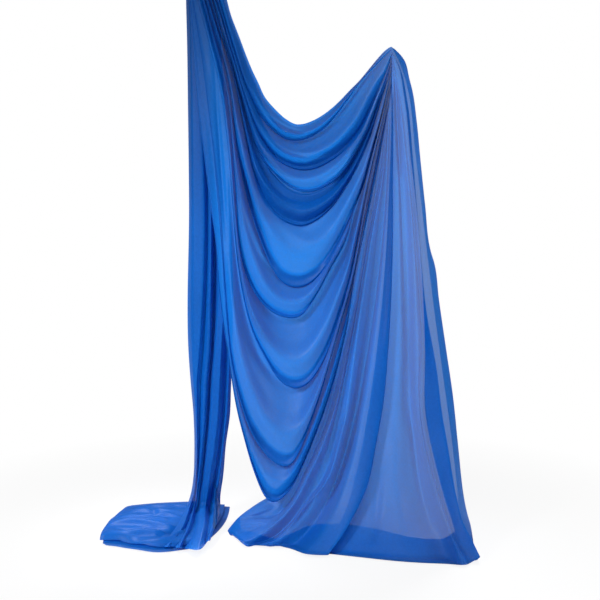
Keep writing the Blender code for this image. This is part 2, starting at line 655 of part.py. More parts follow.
# Where the turned-in hem ends on the floor behind
HEM_REACH_SHARES = [0.440, 0.640, 0.860, 1.150, 1.290, 1.400]
HEM_FORWARD_SHARES = [0.25, -0.20, -0.15, 0.18, 0.20, -0.08]
CURTAIN_FOLD_DEPTH = 0.018
CURTAIN_LINES = 21
CURTAIN_STEPS = 15
CURTAIN_SETBACK = 0.0042


def curtain_point(u, t):
    """A place on the curtain, u across it from its left edge and t down from the peak."""
    places = []
    for index, height_share in enumerate(CURTAIN_HEIGHT_SHARES):
        places.append(Vector((share_at(CURTAIN_REACH_SHARES, u, index) * PEAK_REACH,
                              -share_at(CURTAIN_FORWARD_SHARES, u, index) * CURTAIN_DEPTH,
                              rise(height_share))))
    point = catmull(places, t)
    point.y += CURTAIN_SETBACK
    fold = math.sin(u * (CURTAIN_LINES - 1) * math.pi / 2)
    point.y -= CURTAIN_FOLD_DEPTH * fold * math.sin(math.pi * t) ** FOLD_EASE_SHARE
    point.z = max(point.z, -ANCHOR_HEIGHT + CLOTH_THICKNESS / 2)
    return point


curtain_rows = []
for step in range(CURTAIN_STEPS):
    place = step / (CURTAIN_STEPS - 1)
    row = [curtain_point(line / (CURTAIN_LINES - 1), place) for line in range(CURTAIN_LINES)]
    curtain_rows.append(row)
for share in (0.5, 1.0):
    hem_row = []
    for line in range(CURTAIN_LINES):
        u = line / (CURTAIN_LINES - 1)
        turned_in = Vector((catmull(HEM_REACH_SHARES, u) * PEAK_REACH,
                            -catmull(HEM_FORWARD_SHARES, u) * CURTAIN_DEPTH,
                            -ANCHOR_HEIGHT + CLOTH_THICKNESS / 2))
        hem_row.append(curtain_rows[CURTAIN_STEPS - 1][line].lerp(turned_in, share))
    curtain_rows.append(hem_row)
cloth("right_tail_curtain", curtain_rows, CLOTH_THICKNESS)


# Cloth laid in layers: stations along a layer, and the crown and ripple of the layers above the first
PILE_RIBS = 9
PLY_STATION_SHARES = (0.02, 0.25, 0.50, 0.75, 0.98)
BEND_ANGLES = (-60, 0, 60)
CROWN_SHARE = 0.5
RIPPLE_SHARE = 0.125
RIPPLE_WAVES = 1.5
RIPPLE_SLANT = 4


def ply_lift(level, layers, ply, side, v):
    """How high the middle of a ply lies: its level, and the crown and ripple of the heap."""
    heap = (ply + PLY_GAP) * layers
    crown = math.sin(math.pi * v)
    above = max(level - ply / 2, 0)
    lift = level + ply * CROWN_SHARE * crown * (above / heap) ** 2
    if level > ply + PLY_GAP:
        lift += ply * RIPPLE_SHARE * crown * math.sin(math.tau * RIPPLE_WAVES * v + side * RIPPLE_SLANT)
    return lift


def folded_pile(name, corners, layers, ply, swell):
    """Cloth laid to and fro on the floor in layers, between four corners given left to right,
    front row first. Its lowest ply lies flat, and swell rounds its two folded sides."""
    front_left, front_right, back_left, back_right = corners
    pitch = ply + PLY_GAP
    chain = []
    for layer in range(layers):
        low = ply / 2 + pitch * layer
        way = -1 if layer % 2 else 1
        stations = PLY_STATION_SHARES[::way]
        chain += [(station, low, 0) for station in stations]
        if layer < layers - 1:
            for bend in BEND_ANGLES:
                angle = math.radians(bend)
                middle = low + pitch / 2 * (1 + math.sin(angle))
                chain.append((stations[-1], middle, pitch / 2 * math.cos(angle) * way))
    rows = []
    for rib in range(PILE_RIBS):
        v = rib / (PILE_RIBS - 1)
        crown = math.sin(math.pi * v)
        left = Vector(front_left).lerp(Vector(back_left), v)
        right = Vector(front_right).lerp(Vector(back_right), v)
        across = (right - left).normalized()
        row = []
        for side, level, bulge in chain:
            spot = left.lerp(right, side) + across * (swell * crown * (2 * side - 1) + bulge)
            lift = ply_lift(level, layers, ply, side, v)
            row.append(Vector((spot.x, spot.y, lift - ANCHOR_HEIGHT)))
        rows.append(row)
    return cloth(name, rows, ply)


def floor_corners(shares):
    """Corners on the floor, from shares of the peak's reach and the curtain's depth."""
    return [(x_share * PEAK_REACH, y_share * CURTAIN_DEPTH, 0) for x_share, y_share in shares]


# Left tail's pile, front row first
PILE_CORNER_SHARES = [(-0.44, -0.44), (0.10, -0.64), (-0.40, 0.28), (0.13, 0.50)]
PILE_LAYERS = 3
PILE_SWELL = 0.012
folded_pile("left_tail_pile", floor_corners(PILE_CORNER_SHARES), PILE_LAYERS, PILE_PLY, PILE_SWELL)

# Right tail's pool, at the foot of the curtain's left edge
POOL_CORNER_SHARES = [(0.21, -0.50), (0.3352, -0.56), (0.235, -0.04), (0.3902, -0.10)]
POOL_LAYERS = 2
POOL_SWELL = 0.035
folded_pile("right_tail_pool", floor_corners(POOL_CORNER_SHARES), POOL_LAYERS, PILE_PLY, POOL_SWELL)

# Left tail: a column of pleats from the hitch to the top of the pile, its two sides as shares of
# the peak's reach at these shares of the peak's height
COLUMN_HEIGHT_SHARES = [1.318, 0.70, 0.35, 0.12]
COLUMN_LEFT_SHARES = [-0.036, -0.028, -0.020, -0.004, -0.030]
COLUMN_RIGHT_SHARES = [0.120, 0.155, 0.180, 0.140, 0.120]
COLUMN_SETBACK = 0.030
COLUMN_FOLD_DEPTH = 0.018
COLUMN_FOLD_START_SHARE = 0.25
COLUMN_LINES = 19
COLUMN_STEPS = 18
# The part of the pile that the column's foot stands on
FOOT_SIDE_SHARES = (0.70, 0.80, 0.90, 0.98)
FOOT_DEPTH_SHARES = (0.55, 0.65, 0.75)
top_ply_level = (PILE_PLY + PLY_GAP) * (PILE_LAYERS - 1) + PILE_PLY / 2
foot_lift = PILE_PLY / 2 + CLEARANCE
foot_lift += max(ply_lift(top_ply_level, PILE_LAYERS, PILE_PLY, side, v)
                 for side in FOOT_SIDE_SHARES for v in FOOT_DEPTH_SHARES)


def column_point(u, t):
    """A place on the column, u across it from its left edge and t down from the hitch."""
    places = [bunch_point(LEG_SPREAD, 1, 1 - u)]
    heights = [rise(share) for share in COLUMN_HEIGHT_SHARES] + [foot_lift - ANCHOR_HEIGHT]
    for index, height in enumerate(heights):
        left = COLUMN_LEFT_SHARES[index]
        right = COLUMN_RIGHT_SHARES[index]
        places.append(Vector(((left + (right - left) * u) * PEAK_REACH, COLUMN_SETBACK, height)))
    point = catmull(places, t)
    fold = math.sin(u * (COLUMN_LINES - 1) * math.pi / 2)
    point.y -= COLUMN_FOLD_DEPTH * fold * eased(t / COLUMN_FOLD_START_SHARE)
    return point


column_rows = []
for step in range(COLUMN_STEPS):
    place = step / (COLUMN_STEPS - 1)
    row = [column_point(line / (COLUMN_LINES - 1), place) for line in range(COLUMN_LINES)]
    column_rows.append(row)
cloth("left_tail", column_rows, CLOTH_THICKNESS)
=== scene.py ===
import math

import bpy
import numpy as np
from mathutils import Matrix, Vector


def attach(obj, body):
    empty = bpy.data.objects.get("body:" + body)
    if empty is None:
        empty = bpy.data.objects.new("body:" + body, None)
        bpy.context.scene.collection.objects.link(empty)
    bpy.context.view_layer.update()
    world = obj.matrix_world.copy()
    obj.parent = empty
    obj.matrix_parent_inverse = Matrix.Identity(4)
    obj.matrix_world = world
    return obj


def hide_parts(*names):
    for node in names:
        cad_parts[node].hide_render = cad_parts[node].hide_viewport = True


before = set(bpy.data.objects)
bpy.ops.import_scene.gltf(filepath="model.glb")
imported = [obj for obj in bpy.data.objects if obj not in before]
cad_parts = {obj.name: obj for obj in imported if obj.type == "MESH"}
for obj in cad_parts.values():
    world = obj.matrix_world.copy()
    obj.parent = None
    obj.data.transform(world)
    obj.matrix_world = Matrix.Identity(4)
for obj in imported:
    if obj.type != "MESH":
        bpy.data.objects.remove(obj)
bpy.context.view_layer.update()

# The studio: the silks hang in front of a white backdrop and their ends lie on a white floor.
# Soft lamps stand left, right, in front, behind and high over the left end, and the camera,
# whose focus and middle are in pixels of the picture, looks slightly down.
FLOOR = -3.25
FLOOR_REACH = 30
FLOOR_MIDDLE = (0.45, 0.0, FLOOR)
SHADE_REACH = 5.0
AIR_LEVEL = 0.17
GLOSS_SHARE = 0.15
EYE = (0.46756, -4.2195, -1.84292)
TILT = 0.0825373
FOCUS = 950.43
MIDDLE = 300


class Works:
    """A socket of a material's nodes. Sums on it add Math nodes, and node() adds any other."""

    def __init__(self, tree, socket):
        self.tree = tree
        self.socket = socket

    def node(self, kind, settings, values, out=0):
        made = self.tree.nodes.new("ShaderNode" + kind)
        for name, value in settings.items():
            if name == "stops":
                ramp = made.color_ramp
                while len(ramp.elements) < len(value):
                    ramp.elements.new(0.5)
                for element, (place, tone) in zip(ramp.elements, value):
                    element.position = place
                    tone = tone if hasattr(tone, "__len__") else (tone, tone, tone)
                    element.color = (*tone, 1)
            else:
                setattr(made, name, value)
        for name, value in values.items():
            if isinstance(value, Works):
                self.tree.links.new(value.socket, made.inputs[name])
            else:
                made.inputs[name].default_value = value
        return Works(self.tree, made.outputs[out] if len(made.outputs) else None)

    def sum(self, operation, first, second):
        return self.node("Math", {"operation": operation}, {0: first, 1: second})

    def __add__(self, other):
        return self.sum("ADD", self, other)

    def __radd__(self, other):
        return self.sum("ADD", other, self)

    def __sub__(self, other):
        return self.sum("SUBTRACT", self, other)

    def __rsub__(self, other):
        return self.sum("SUBTRACT", other, self)

    def __mul__(self, other):
        return self.sum("MULTIPLY", self, other)

    def __rmul__(self, other):
        return self.sum("MULTIPLY", other, self)

    def axis(self, number):
        """The x, y or z of this place."""
        return self.node("SeparateXYZ", {}, {0: self}, number)

    def noise(self, scale, detail, roughness):
        """Noise at this place, about 0.5."""
        return self.node("TexNoise", {}, {
            "Vector": self, "Scale": scale, "Detail": detail, "Roughness": roughness})

    def ramp(self, stops):
        """This value turned into the levels or colours of a ramp's stops."""
        return self.node("ValToRGB", {"stops": stops}, {0: self})

    def tint(self, share, colour):
        """This colour moved a share of the way to another."""
        return self.node("Mix", {"data_type": 'RGBA'}, {0: share, 6: self, 7: colour}, 2)


def material(name):
    """A new empty material, and the object place of the surface as the start of its nodes."""
    made = bpy.data.materials.new(name)
    made.use_nodes = True
    made.node_tree.nodes.clear()
    start = Works(made.node_tree, None)
    return made, start.node("TexCoord", {}, {}, "Object")


def mesh_piece(name, vertices, faces, finish):
    """A smooth-shaded piece of these points and faces."""
    data = bpy.data.meshes.new(name)
    data.from_pydata([tuple(map(float, spot)) for spot in vertices], [],
                     [tuple(map(int, face)) for face in faces])
    data.polygons.foreach_set("use_smooth", [True] * len(data.polygons))
    data.materials.append(finish)
    data.update()
    piece = bpy.data.objects.new(name, data)
    bpy.context.scene.collection.objects.link(piece)
    return piece


# To the camera the floor is plain white, but for the soft shade that the cloth throws near it
white, at = material("studio_white")
camera_ray = at.node("LightPath", {}, {}, "Is Camera Ray")
lit = at.node("BsdfDiffuse", {}, {"Color": (0.92, 0.92, 0.93, 1)})
plain = at.node("Emission", {}, {"Color": (1, 1, 1, 1), "Strength": 1.0})
away = at.node("VectorMath", {"operation": 'DISTANCE'}, {0: at, 1: FLOOR_MIDDLE}, "Value")
clear = (away * (1 / SHADE_REACH)).ramp([(0.16, 0.86), (0.45, 1.0)])
at.node("OutputMaterial", {}, {
    "Surface": at.node("MixShader", {}, {0: camera_ray * clear, 1: lit, 2: plain})})
floor_corners = [(x * FLOOR_REACH, y * FLOOR_REACH, FLOOR)
                 for x, y in ((-1, -1), (1, -1), (1, 1), (-1, 1))]
floor = mesh_piece("studio_floor", floor_corners, [(0, 1, 2, 3)], white)

# The air is as bright as paper where it is looked at, and dimmer where it lights the silks
world = bpy.data.worlds.new("studio_air")
bpy.context.scene.world = world
world.use_nodes = True
world.node_tree.nodes.clear()
air = Works(world.node_tree, None)
camera_ray = air.node("LightPath", {}, {}, "Is Camera Ray")
glossy_ray = air.node("LightPath", {}, {}, "Is Glossy Ray")
through_ray = air.node("LightPath", {}, {}, "Is Transmission Ray")
bare = air.sum("MAXIMUM", air.sum("MAXIMUM", camera_ray, glossy_ray * GLOSS_SHARE), through_ray)
level = AIR_LEVEL + bare * (1 - AIR_LEVEL)
backdrop = air.node("Background", {}, {"Color": (1, 1, 1, 1), "Strength": level})
air.node("OutputWorld", {}, {"Surface": backdrop})

# Each lamp's place, what it faces, its size, its spread in degrees and its watts
LAMPS = [
    ("left_softbox", (-2.3, -2.8, -0.6), (-0.15, 0, -2.4), (1.0, 1.4), 44, 13),
    ("right_softbox", (4.2, -1.6, -1.2), (0.9, 0, -1.9), (1.2, 1.6), 120, 22),
    ("front_softbox", (0.4, -3.5, 1.1), (0.4, 0, -2.8), (1.6, 1.2), 74, 10.5),
    ("back_softbox", (1.7, 2.7, 0.5), (1.12, 0, -1.8), (1.6, 1.0), 42, 17.5),
    ("high_softbox", (-1.3, 0.9, 0.2), (-0.14, 0.0, -3.2), (0.8, 0.8), 30, 3.6),
]
for lamp_name, stands_at, aim, size, spread, power in LAMPS:
    lamp = bpy.data.lights.new(lamp_name, 'AREA')
    lamp.shape = 'RECTANGLE'
    lamp.size, lamp.size_y = size
    lamp.spread = math.radians(spread)
    lamp.energy = power
    stand = bpy.data.objects.new(lamp_name, lamp)
    stand.location = stands_at
    stand.rotation_euler = (Vector(aim) - Vector(stands_at)).to_track_quat('-Z', 'Y').to_euler()
    bpy.context.scene.collection.objects.link(stand)

lens = bpy.data.cameras.new("camera")
lens.sensor_width = 36
lens.lens = lens.sensor_width * FOCUS / (2 * MIDDLE)
lens.clip_end = 200
camera = bpy.data.objects.new("camera", lens)
camera.location = EYE
camera.rotation_euler = (math.pi / 2 - TILT, 0, 0)
bpy.context.scene.collection.objects.link(camera)
bpy.context.scene.camera = camera
bpy.context.scene.view_settings.view_transform = 'Standard'

# The fittings: zinc-plated steel carabiners with black knurled screw sleeves, and a ball-bearing
# swivel and a figure eight of grey anodised aluminium, each hung in the eye of the one above.
# Their CAD solids stay, with these finishes.
SLEEVE_AXIS_X = 0.0255
KNURL_RIDGES = 28
KNURL_SLANT = 4200


def metal_finish(works, values, bump, height):
    """Closes a metal's material with a Principled shader, bumped by so many metres."""
    values["Normal"] = works.node("Bump", {}, {
        "Height": bump, "Distance": height, "Strength": 1.0})
    shader = works.node("BsdfPrincipled", {}, values)
    works.node("OutputMaterial", {}, {"Surface": shader})


steel, at = material("zinc_steel")
cloud = at.noise(90, 4, 0.6)
scratch = at.node("Mapping", {}, {"Vector": at, "Scale": (900, 900, 60)}).noise(1, 2, 0.6)
metal_finish(at, {
    "Base Color": cloud.ramp([(0.3, (0.47, 0.49, 0.52)), (0.7, (0.62, 0.64, 0.67))]),
    "Metallic": 1.0, "Roughness": 0.24 + cloud * 0.12 + scratch * 0.08}, scratch, 0.00003)

black_steel, at = material("black_knurled_steel")
round_sleeve = at.sum("ARCTAN2", at.axis(1), at.axis(0) - SLEEVE_AXIS_X) * KNURL_RIDGES
slant = at.axis(2) * KNURL_SLANT
knurl = at.sum("SINE", round_sleeve + slant, 0) + at.sum("SINE", round_sleeve - slant, 0)
knurl = knurl * 0.25 + 0.5
wear = at.noise(240, 3, 0.6)
metal_finish(at, {
    "Base Color": (knurl * 0.7 + wear * 0.3).ramp([
        (0.35, (0.014, 0.014, 0.016)), (0.8, (0.075, 0.075, 0.08))]),
    "Metallic": 0.6, "Roughness": 0.38 + wear * 0.2}, knurl, 0.0004)

bearing_steel, at = material("ground_bearing_steel")
cloud = at.noise(220, 3, 0.6)
metal_finish(at, {
    "Base Color": cloud.ramp([(0.3, (0.63, 0.64, 0.66)), (0.7, (0.75, 0.76, 0.78))]),
    "Metallic": 1.0, "Roughness": 0.12 + cloud * 0.1}, cloud, 0.00002)

aluminium, at = material("anodised_aluminium")
cloud = at.noise(130, 4, 0.6)
turned = at.node("Mapping", {}, {"Vector": at, "Scale": (300, 300, 2600)}).noise(1, 1, 0.5)
rubbed = at.noise(26, 2, 0.5).ramp([(0.62, 0.0), (0.74, 1.0)])
metal_finish(at, {
    "Base Color": cloud.ramp([(0.3, (0.27, 0.29, 0.33)), (0.7, (0.36, 0.38, 0.42))]).tint(
        rubbed * 0.35, (0.62, 0.63, 0.65, 1)),
    "Metallic": 0.9, "Roughness": 0.3 + cloud * 0.16 + turned * 0.06}, turned, 0.00002)

# The first word that a node's name holds gives its finish
FITTING_FINISHES = (("sleeve", black_steel), ("ball_cage", steel), ("ball_", bearing_steel),
                    ("race", bearing_steel), ("spring", bearing_steel), ("pin", bearing_steel),
                    ("swivel", aluminium), ("figure_eight", aluminium), ("carabiner", steel))
for node_name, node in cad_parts.items():
    for word, finish in FITTING_FINISHES:
        if word in node_name:
            for holder in node.material_slots:
                holder.material = finish
            break

# The cloth: royal blue nylon tricot, warp-knitted so fine that one layer lets the white behind
# it through. It has a soft sheen and a fine crinkle, glows when lit from behind, and looks deeper
# in colour where layers overlap. Its cover is a painted lightening at the right, where the fan
# is one layer: more white shows through there, and near the floor the cover changes a little too.
COVER = 0.940
COVER_MOTTLE = 0.078
COVER_LOST_AT_FAN = 0.098
COVER_KEPT_LOW_AT_FAN = 0.034
COVER_LOST_LOW = 0.012
CRINKLE_HEIGHT = 0.0010
GLOW_SHARE = 0.28
tricot, at = material("tricot")
fine = at.noise(900, 2, 0.6)
mottle = at.noise(95, 4, 0.7)
broad = at.noise(3.0, 2, 0.5)
crinkle = at.noise(38, 4, 0.6)
grain = fine * 0.3 + mottle * 0.7
# Painted light: the fan at the right lets more of the white behind it through, lightening it by
# place
painted_fan_light = at.axis(0).ramp([(0.70, 0.0), (0.90, 0.62), (1.06, 1.0)])
# Painted light by height: near the floor the cloth lets a little more white through, the fan a
# little less than above
low = (at.axis(2) * -0.3).ramp([(0.60, 0.0), (0.80, 1.0)])
cover = COVER + mottle * COVER_MOTTLE - painted_fan_light * (COVER_LOST_AT_FAN - low * COVER_KEPT_LOW_AT_FAN)
cover = cover - low * COVER_LOST_LOW
relief = at.node("Bump", {}, {
    "Height": crinkle * 0.8 + fine * 0.2, "Distance": CRINKLE_HEIGHT, "Strength": 1.0})
face = at.node("BsdfPrincipled", {}, {
    "Base Color": (grain * 0.7 + broad * 0.3).ramp([
        (0.25, (0.000, 0.082, 0.37)), (0.75, (0.002, 0.160, 0.63))]),
    "Roughness": 0.38 + mottle * 0.12, "Specular IOR Level": 0.22, "Normal": relief,
    "Sheen Weight": 0.05, "Sheen Roughness": 0.4, "Sheen Tint": (0.6, 0.75, 1.0, 1)})
glow = at.node("BsdfTranslucent", {}, {"Color": (0.010, 0.26, 0.82, 1)})
knit = at.node("MixShader", {}, {0: GLOW_SHARE, 1: face, 2: glow})
holes = at.node("BsdfTransparent", {}, {})
at.node("OutputMaterial", {}, {
    "Surface": at.node("MixShader", {}, {0: cover, 1: holes, 2: knit})})

# Right tail: one length of the tricot that runs from the hitch down in deep hanging folds and up
# to the place it is held at, then falls as a fan of pleats to the floor, with its end turned
# under. It is one sheet, drawn along the lines of its folds.
CLOTH_TOP = -0.4309
LEG_X = -0.0156
LEG_Y = 0.0152
BUNCH = 0.013
# How far back the cloth's plane leans for each metre down, and how far before it the fan stands
LEAN = 0.0349
CURTAIN_DEPTH = 0.522


def curve(stations, values, places):
    """Values along a smooth curve through the given ones."""
    stations = np.asarray(stations, float)
    values = np.asarray(values, float)
    places = np.clip(places, stations[0], stations[-1])
    gap = np.diff(stations)
    secant = np.diff(values, axis=0) / gap.reshape((-1,) + (1,) * (values.ndim - 1))
    slope = np.empty_like(values)
    slope[0], slope[-1] = secant[0], secant[-1]
    share = (gap[1:] / (gap[1:] + gap[:-1])).reshape((-1,) + (1,) * (values.ndim - 1))
    slope[1:-1] = secant[:-1] * share + secant[1:] * (1 - share)
    index = np.clip(np.searchsorted(stations, places, side="right") - 1, 0, len(gap) - 1)
    extent = gap[index].reshape((-1,) + (1,) * (values.ndim - 1))
    part = ((places - stations[index]) / gap[index]).reshape(extent.shape)
    square, cube = part ** 2, part ** 3
    start, end = values[index], values[index + 1]
    return (start * (2 * cube - 3 * square + 1) + slope[index] * extent * (cube - 2 * square + part)
            + end * (3 * square - 2 * cube) + slope[index + 1] * extent * (cube - square))


def rise(values, start, width):
    """0 up to the start, 1 from a width past it, and an even rise between."""
    return np.clip((values - start) / width, 0, 1)


def even(points, count):
    """Points at even steps along a line drawn through some points of the picture."""
    points = np.asarray(points, float)
    steps = np.hypot(*np.diff(points[:, :2], axis=0).T)
    length = np.concatenate(([0], np.cumsum(steps)))
    return curve(length, points, np.linspace(0, length[-1], count))


def seen(px, py, y):
    """The place at depth y that the camera sees at a pixel."""
    up = (MIDDLE - py) / FOCUS
    reach = y - EYE[1]
    drop = reach * np.tan(np.arctan(up) - TILT)
    depth = reach * math.cos(TILT) - drop * math.sin(TILT)
    return np.stack([EYE[0] + (px - MIDDLE) / FOCUS * depth, y + 0 * px, EYE[2] + drop], -1)


def hung(px, py, forward, lift):
    """The place seen at a pixel, so far in front of the plane that the cloth hangs in, and where
    that is under the floor, the place on the floor, lifted a little."""
    y = -forward
    for nearing in range(4):
        z = seen(px, py, y)[..., 2]
        y = LEAN * (CLOTH_TOP - z) - forward
    place = seen(px, py, y)
    slope = np.tan(np.minimum(np.arctan((MIDDLE - py) / FOCUS) - TILT, -0.01))
    floor_y = EYE[1] + (FLOOR + lift - EYE[2]) / slope
    low = place[..., 2] < FLOOR + lift
    place[low] = seen(px[low], py[low], floor_y[low])
    return place


# Where the cloth is held, in pixels of the picture, and how far down the gather there reaches
HELD_X = 391.5
HELD_Y = 46.8
GATHER_REACH = 40
# Each line is the top selvedge or the lowest edge of a fold, in pixels of the picture: from where
# the cloth is held to the line's lowest point, then on to the picture's top edge
SWAG_LINES = [
    ([(HELD_X, 46.5), (388.5, 47.2), (385, 50.5), (378, 58), (370.6, 67), (359, 81),
      (349.6, 90.4), (340, 100.6), (332, 108), (314, 120), (303, 124), (295, 124.5)],
     [(287, 120), (274, 108), (264, 96), (259, 84), (253, 72), (248, 60), (239, 36), (230, 12),
      (227, 0)]),
    ([(HELD_X, 50), (384, 57), (375.6, 66), (362, 80), (347, 101), (336, 116), (325, 128),
      (316, 134.5), (303, 140), (294, 141.5)],
     [(284.5, 139), (272, 130), (263, 120), (253, 106), (241, 83), (233, 53), (219, 0)]),
    ([(HELD_X, 58), (388, 68), (383, 80), (373, 105), (360, 134), (348, 148), (339, 156),
      (328, 163), (318, 168), (305, 170.5), (297, 170)],
     [(286, 166), (275, 159), (262, 146), (251, 128), (243, 105), (233, 65), (216, 0)]),
    ([(HELD_X, 62), (387, 78), (378, 104), (366, 134), (356, 152), (346, 168), (338, 178),
      (329, 185), (318, 190.5), (306, 192.5), (300, 192)],
     [(290, 187.5), (278, 178), (266, 164), (254, 146), (243, 110), (230, 60), (213, 0)]),
    ([(HELD_X, 66), (387, 82), (380, 105), (369, 141), (360, 162), (346, 187), (332, 207),
      (315, 221), (303, 226), (297, 226)],
     [(283, 221), (274, 214), (266, 205), (255, 179), (250, 160), (243, 125), (235, 85),
      (210, 0)]),
    ([(HELD_X, 70), (387, 92), (376, 140), (362, 190), (352, 214), (342, 236), (332, 257),
      (318, 277), (308, 285), (298, 288.5)],
     [(288, 287), (277, 277), (265, 252), (255, 225), (245, 190), (237, 150), (230, 90),
      (206, 0)]),
    ([(HELD_X, 75), (385, 100), (366, 168), (352, 216), (346, 240), (330, 270), (315, 298),
      (306, 311), (300, 317), (293, 319)],
     [(285, 318), (277, 315.5), (262, 304), (251, 287), (242, 262), (238, 238), (236, 200),
      (233, 160), (229, 110), (203, 0)]),
    ([(HELD_X, 80), (384, 115), (368, 185), (357, 245), (350, 280), (341, 312), (333, 338),
      (321, 366), (308, 384), (300, 389), (294.5, 389.8)],
     [(288, 388), (281, 383), (267, 361), (253, 334), (246, 310), (240, 280), (236, 250),
      (232, 200), (222, 100), (199, 0)]),
    ([(HELD_X, 85), (380, 140), (365, 215), (352, 285), (336, 340), (323.5, 385), (312, 420),
      (302, 446), (294, 462), (289, 468), (285, 469.6)],
     [(277, 466), (268, 458), (253, 437), (241, 405), (230.6, 359), (227, 320), (221, 240),
      (213, 150), (207, 100), (194, 0)]),
    ([(HELD_X, 90), (378, 166), (366, 225), (357, 265), (345, 338), (325, 410), (313, 442),
      (302, 468), (291, 489), (280, 501), (270.4, 505.7)],
     [(264, 498), (259.6, 487), (250.7, 463), (244.5, 440), (239, 420), (234, 396),
      (229.7, 366), (224.6, 334), (221, 308), (218.3, 282), (215.7, 242), (210.6, 208),
      (204, 155), (198, 107.6), (190, 0)]),
]
# How far up behind each fold's edge the cloth goes before it turns down again, as a share of the
# way to the fold above, and how far in front each line hangs, as shares of the curtain's depth
TUCK_SHARES = [0, 0.40, 0.39, 0.16, 0.84, 0.16, 0.16, 0.16, 0.16, 0.28]
FORWARD_SHARES = [0.10, 0.115, 0.14, 0.16, 0.185, 0.225, 0.25, 0.31, 0.375, 0.34]
# How much of a step back the lower folds' left limbs take, and how flat they hang there
LIMB_BACK_SHARES = [0, 0, 0, 0, 0, 0, -0.2, 0.1, 0.6, 1.0]
LIMB_STEP_BACK = 0.050
FLAT_SHARES = [0, 0, 0, 0, 0, 0, 0.5, 0.8, 0.9, 0.6]
# How many folds tuck up further on their left, and how far the folds stand before the selvedge
# in the open middle of the sweep
UPPER_FOLDS = 6
OPEN_STEP = 0.014
# Along a line: how much of its way forward it has, and how far it stands off at the left
LINE_STATIONS = np.arange(10) / 9
LINE_FORWARD_SHARES = [0, 0.35, 0.70, 0.95, 1.00, 0.90, 0.60, 0.28, 0.10, 0]
STANDOFF_SHARES = [0, 0, 0, 0, 0.1, 0.3, 0.6, 1.0, 1.0, 0.45]
STANDOFF = 0.034
# The radius that a fold's edge is rolled to, and how far the fullest panels belly out
ROLL = 0.0085
BELLY = 0.024
# Down a panel from one fold to the next: how far it is, how much of the way forward it has come,
# and how far it swells or sinks
PANEL_WAYS = ((0.12, 0.02, -0.40), (0.36, 0.35, 0.55), (0.62, 0.90, 1.20), (0.88, 0.98, -0.35))
# How many columns of the sheet there are from each knot of a panel and its fold to the next
PANEL_PARTS = [6, 8, 8, 8, 5, 3, 3, 5, 3, 3]
LAST_PARTS = 4
PIXELS_PER_METRE = 214.0
# The foot of the hitch, in pixels above the picture: its height, where the top selvedge comes to
# it and how far on the last fold does, and a height on the way there
HITCH_PY = -109.2
RIGHT_HITCH_PX = 190.2
RIGHT_HITCH_SPREAD = -5.8
RIGHT_WAY_PY = -62
SWAG_ROWS = 220
SWAG_LIFT = 0.004
LINE_BLUR = np.array([1, 2, 3, 2, 1]) / 9

# The share of the way along each line, from where the cloth is held to the hitch
sweep = np.linspace(0, 1, SWAG_ROWS)
half = SWAG_ROWS // 2
lines = []
for number, (right_limb, left_limb) in enumerate(SWAG_LINES):
    share = number / (len(SWAG_LINES) - 1)
    end = (RIGHT_HITCH_PX + RIGHT_HITCH_SPREAD * share, HITCH_PY)
    far = (left_limb[-1][0] * 0.32 + end[0] * 0.68, RIGHT_WAY_PY)
    right_part = even(right_limb, half)
    left_part = even([right_limb[-1]] + left_limb + [far, end], SWAG_ROWS - half + 1)[1:]
    lines.append(np.concatenate([right_part, left_part]))
lines = np.array(lines)
for smoothing in range(2):
    padded = np.concatenate([lines[:, :1]] * 2 + [lines] + [lines[:, -1:]] * 2, axis=1)
    lines = sum(weight * padded[:, shift:shift + SWAG_ROWS]
                for shift, weight in enumerate(LINE_BLUR))

forward_share = curve(LINE_STATIONS, LINE_FORWARD_SHARES, sweep)
standoff = curve(LINE_STATIONS, STANDOFF_SHARES, sweep) * STANDOFF
open_share = np.clip(np.minimum(sweep / 0.12, (1 - sweep) / 0.35), 0, 1)
open_share = open_share * open_share * (3 - 2 * open_share)

first_forward = FORWARD_SHARES[0] * CURTAIN_DEPTH * forward_share + standoff
knots = [np.column_stack([lines[0], first_forward])]
parts = []
turn_line = lines[0]
turn_forward = first_forward
for number in range(1, len(lines)):
    edge = lines[number]
    towards = turn_line - edge
    distance = np.maximum(np.hypot(*towards.T), 1e-6)[:, None]
    unit = towards / distance
    flat = rise(sweep, 0.56, 0.16)[:, None] * FLAT_SHARES[number]
    roll = np.minimum(ROLL * PIXELS_PER_METRE, distance * 0.16) * (1 - flat)
    thick = (roll / PIXELS_PER_METRE)[:, 0]
    forward = FORWARD_SHARES[number] * CURTAIN_DEPTH * forward_share + standoff
    forward = forward + OPEN_STEP * open_share
    step_back = LIMB_BACK_SHARES[number] * LIMB_STEP_BACK * rise(sweep, 0.54, 0.12)
    forward -= step_back * np.clip((1 - sweep) / 0.25, 0, 1)
    doubled = 1 + rise(sweep, 0.52, 0.1) * (number < UPPER_FOLDS)
    tuck = np.minimum(TUCK_SHARES[number] * doubled, 0.85)[:, None]
    reach = np.maximum(distance * tuck * (0.25 + 0.75 * open_share[:, None]), roll * 2.3)
    reach = np.minimum(reach, distance * 0.86)
    top = edge + unit * reach
    belly = np.minimum(distance[:, 0] / PIXELS_PER_METRE * 0.16, BELLY) * open_share
    belly = belly * (1 - flat[:, 0])
    panel = [(turn_line + (edge - turn_line) * way,
              turn_forward + (forward - turn_forward) * ease + belly * swell)
             for way, ease, swell in PANEL_WAYS]
    # The edge is rolled under, and the cloth goes up behind it and turns down again
    panel += [(edge + unit * roll, forward), (edge, forward - thick),
              (edge + unit * roll, forward - 2 * thick),
              (top - unit * roll, forward - 2.2 * thick), (top, forward - 3.2 * thick),
              (top - unit * roll, forward - 4.2 * thick)]
    knots += [np.column_stack(knot) for knot in panel]
    parts += PANEL_PARTS
    turn_line = top - unit * roll
    turn_forward = forward - 4.2 * thick
